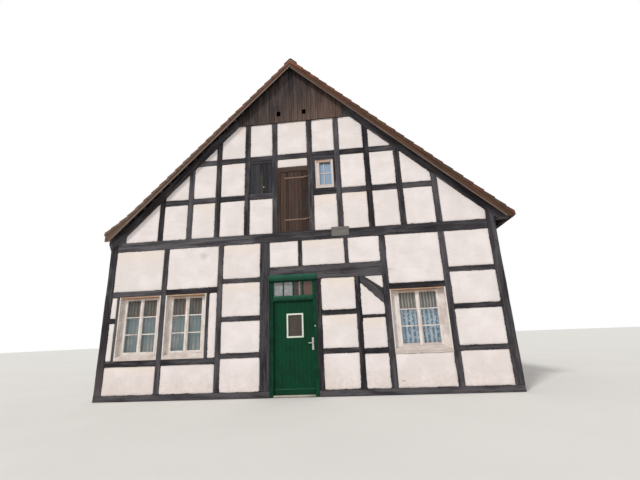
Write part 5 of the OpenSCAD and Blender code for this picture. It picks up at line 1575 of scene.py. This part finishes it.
class HOUSE_OT_stage(Operator):
    """Floor, lights, white backdrop and the camera at the photograph's angle"""
    bl_idname = "house.stage"
    bl_label = "Stage"

    def execute(self, context):
        look = context.scene.house_stage
        scene = context.scene
        scene.view_settings.view_transform = "Standard"
        self.floor(look)
        self.world(scene, look)
        self.sun(look)
        self.camera(scene)
        return {"FINISHED"}

    @staticmethod
    def floor(look):
        radius, below_house = 120, 0.002
        bm = bmesh.new()
        bmesh.ops.create_circle(bm, cap_ends=True, segments=64, radius=radius)
        mesh = bpy.data.meshes.new("stage_floor")
        bm.to_mesh(mesh)
        bm.free()
        floor = linked("stage_floor", mesh)
        floor.location.z = -below_house
        f = Finish("floor_paint", Roughness=0.95, Specular_IOR_Level=0.1)
        clouds = f.between(f.noise(f.place(), 0.4, 3), 0.3, 0.7)
        f.colour(f.mix(clouds, look.floor, shaded(look.floor, 0.97)))
        mesh.materials.append(f.material)

    @staticmethod
    def world(scene, look):
        """White where a ray sees it straight, mirrored or through glass, and an even light elsewhere."""
        world = bpy.data.worlds.new("stage_light")
        scene.world = world
        world.use_nodes = True
        tree = world.node_tree
        rays = tree.nodes.new("ShaderNodeLightPath").outputs
        seen = rays["Is Camera Ray"]
        for ray in ("Is Glossy Ray", "Is Transmission Ray"):
            either = tree.nodes.new("ShaderNodeMath")
            either.operation = "MAXIMUM"
            tree.links.new(seen, either.inputs[0])
            tree.links.new(rays[ray], either.inputs[1])
            seen = either.outputs[0]
        level = tree.nodes.new("ShaderNodeMapRange")
        level.inputs["To Min"].default_value = look.sky
        level.inputs["To Max"].default_value = 1.0
        tree.links.new(seen, level.inputs["Value"])
        back = tree.nodes["Background"]
        tree.links.new(level.outputs[0], back.inputs["Strength"])
        back.inputs["Color"].default_value = (1, 1, 1, 1)

    @staticmethod
    def sun(look):
        """A wide, slightly warm light from the upper left in front of the house."""
        light = bpy.data.lights.new("key_light", "SUN")
        light.energy = look.sun
        light.angle = math.radians(9)
        light.color = (1.0, 0.985, 0.96)
        towards = Vector((-0.55, -0.85, 0.95))
        linked("key_light", light).rotation_euler = towards.to_track_quat("Z", "Y").to_euler()

    @staticmethod
    def camera(scene):
        """The camera of the photograph, found from the posts and rails that it shows."""
        data = bpy.data.cameras.new("photo_camera")
        data.lens, data.sensor_width, data.clip_end = 19.227, 36.0, 500.0
        scene.camera = linked("photo_camera", data)
        scene.camera.location = 1.43497, -14.2485, 1.34
        scene.camera.rotation_euler = 1.8414534, 0.039963473, 0.10386102


OPERATORS = (HOUSE_OT_timbers, HOUSE_OT_pegs, HOUSE_OT_panels, HOUSE_OT_gable_boards, HOUSE_OT_tiles,
             HOUSE_OT_windows, HOUSE_OT_attic_closures, HOUSE_OT_door, HOUSE_OT_curtains, HOUSE_OT_floors,
             HOUSE_OT_stage)
LOOKS = {"house_timber": TimberLook, "house_plaster": PlasterLook, "house_roof": RoofLook,
         "house_boards": BoardLook, "house_joinery": JoineryLook, "house_curtains": CurtainLook,
         "house_stage": StageLook}


class HOUSE_PT_sidebar(Panel):
    """Lists the pieces of the house and their looks"""
    bl_idname = "HOUSE_PT_sidebar"
    bl_label = "Half Timbered House"
    bl_space_type = "VIEW_3D"
    bl_region_type = "UI"
    bl_category = "House"

    def draw(self, context):
        column = self.layout.column()
        for operator in OPERATORS:
            column.operator(operator.bl_idname)
        for group, look in LOOKS.items():
            box = self.layout.box()
            box.label(text=look.__name__.replace("Look", ""))
            for prop in look.__annotations__:
                box.prop(getattr(context.scene, group), prop)


def register():
    for look in LOOKS.values():
        bpy.utils.register_class(look)
    for group, look in LOOKS.items():
        setattr(bpy.types.Scene, group, PointerProperty(type=look))
    for operator in OPERATORS:
        bpy.utils.register_class(operator)
    bpy.utils.register_class(HOUSE_PT_sidebar)


def unregister():
    bpy.utils.unregister_class(HOUSE_PT_sidebar)
    for operator in reversed(OPERATORS):
        bpy.utils.unregister_class(operator)
    for group in LOOKS:
        delattr(bpy.types.Scene, group)
    for look in reversed(list(LOOKS.values())):
        bpy.utils.unregister_class(look)


def main():
    register()
    for operator in OPERATORS:
        group, action = operator.bl_idname.split(".")
        getattr(getattr(bpy.ops, group), action)()


if __name__ == "__main__":
    main()
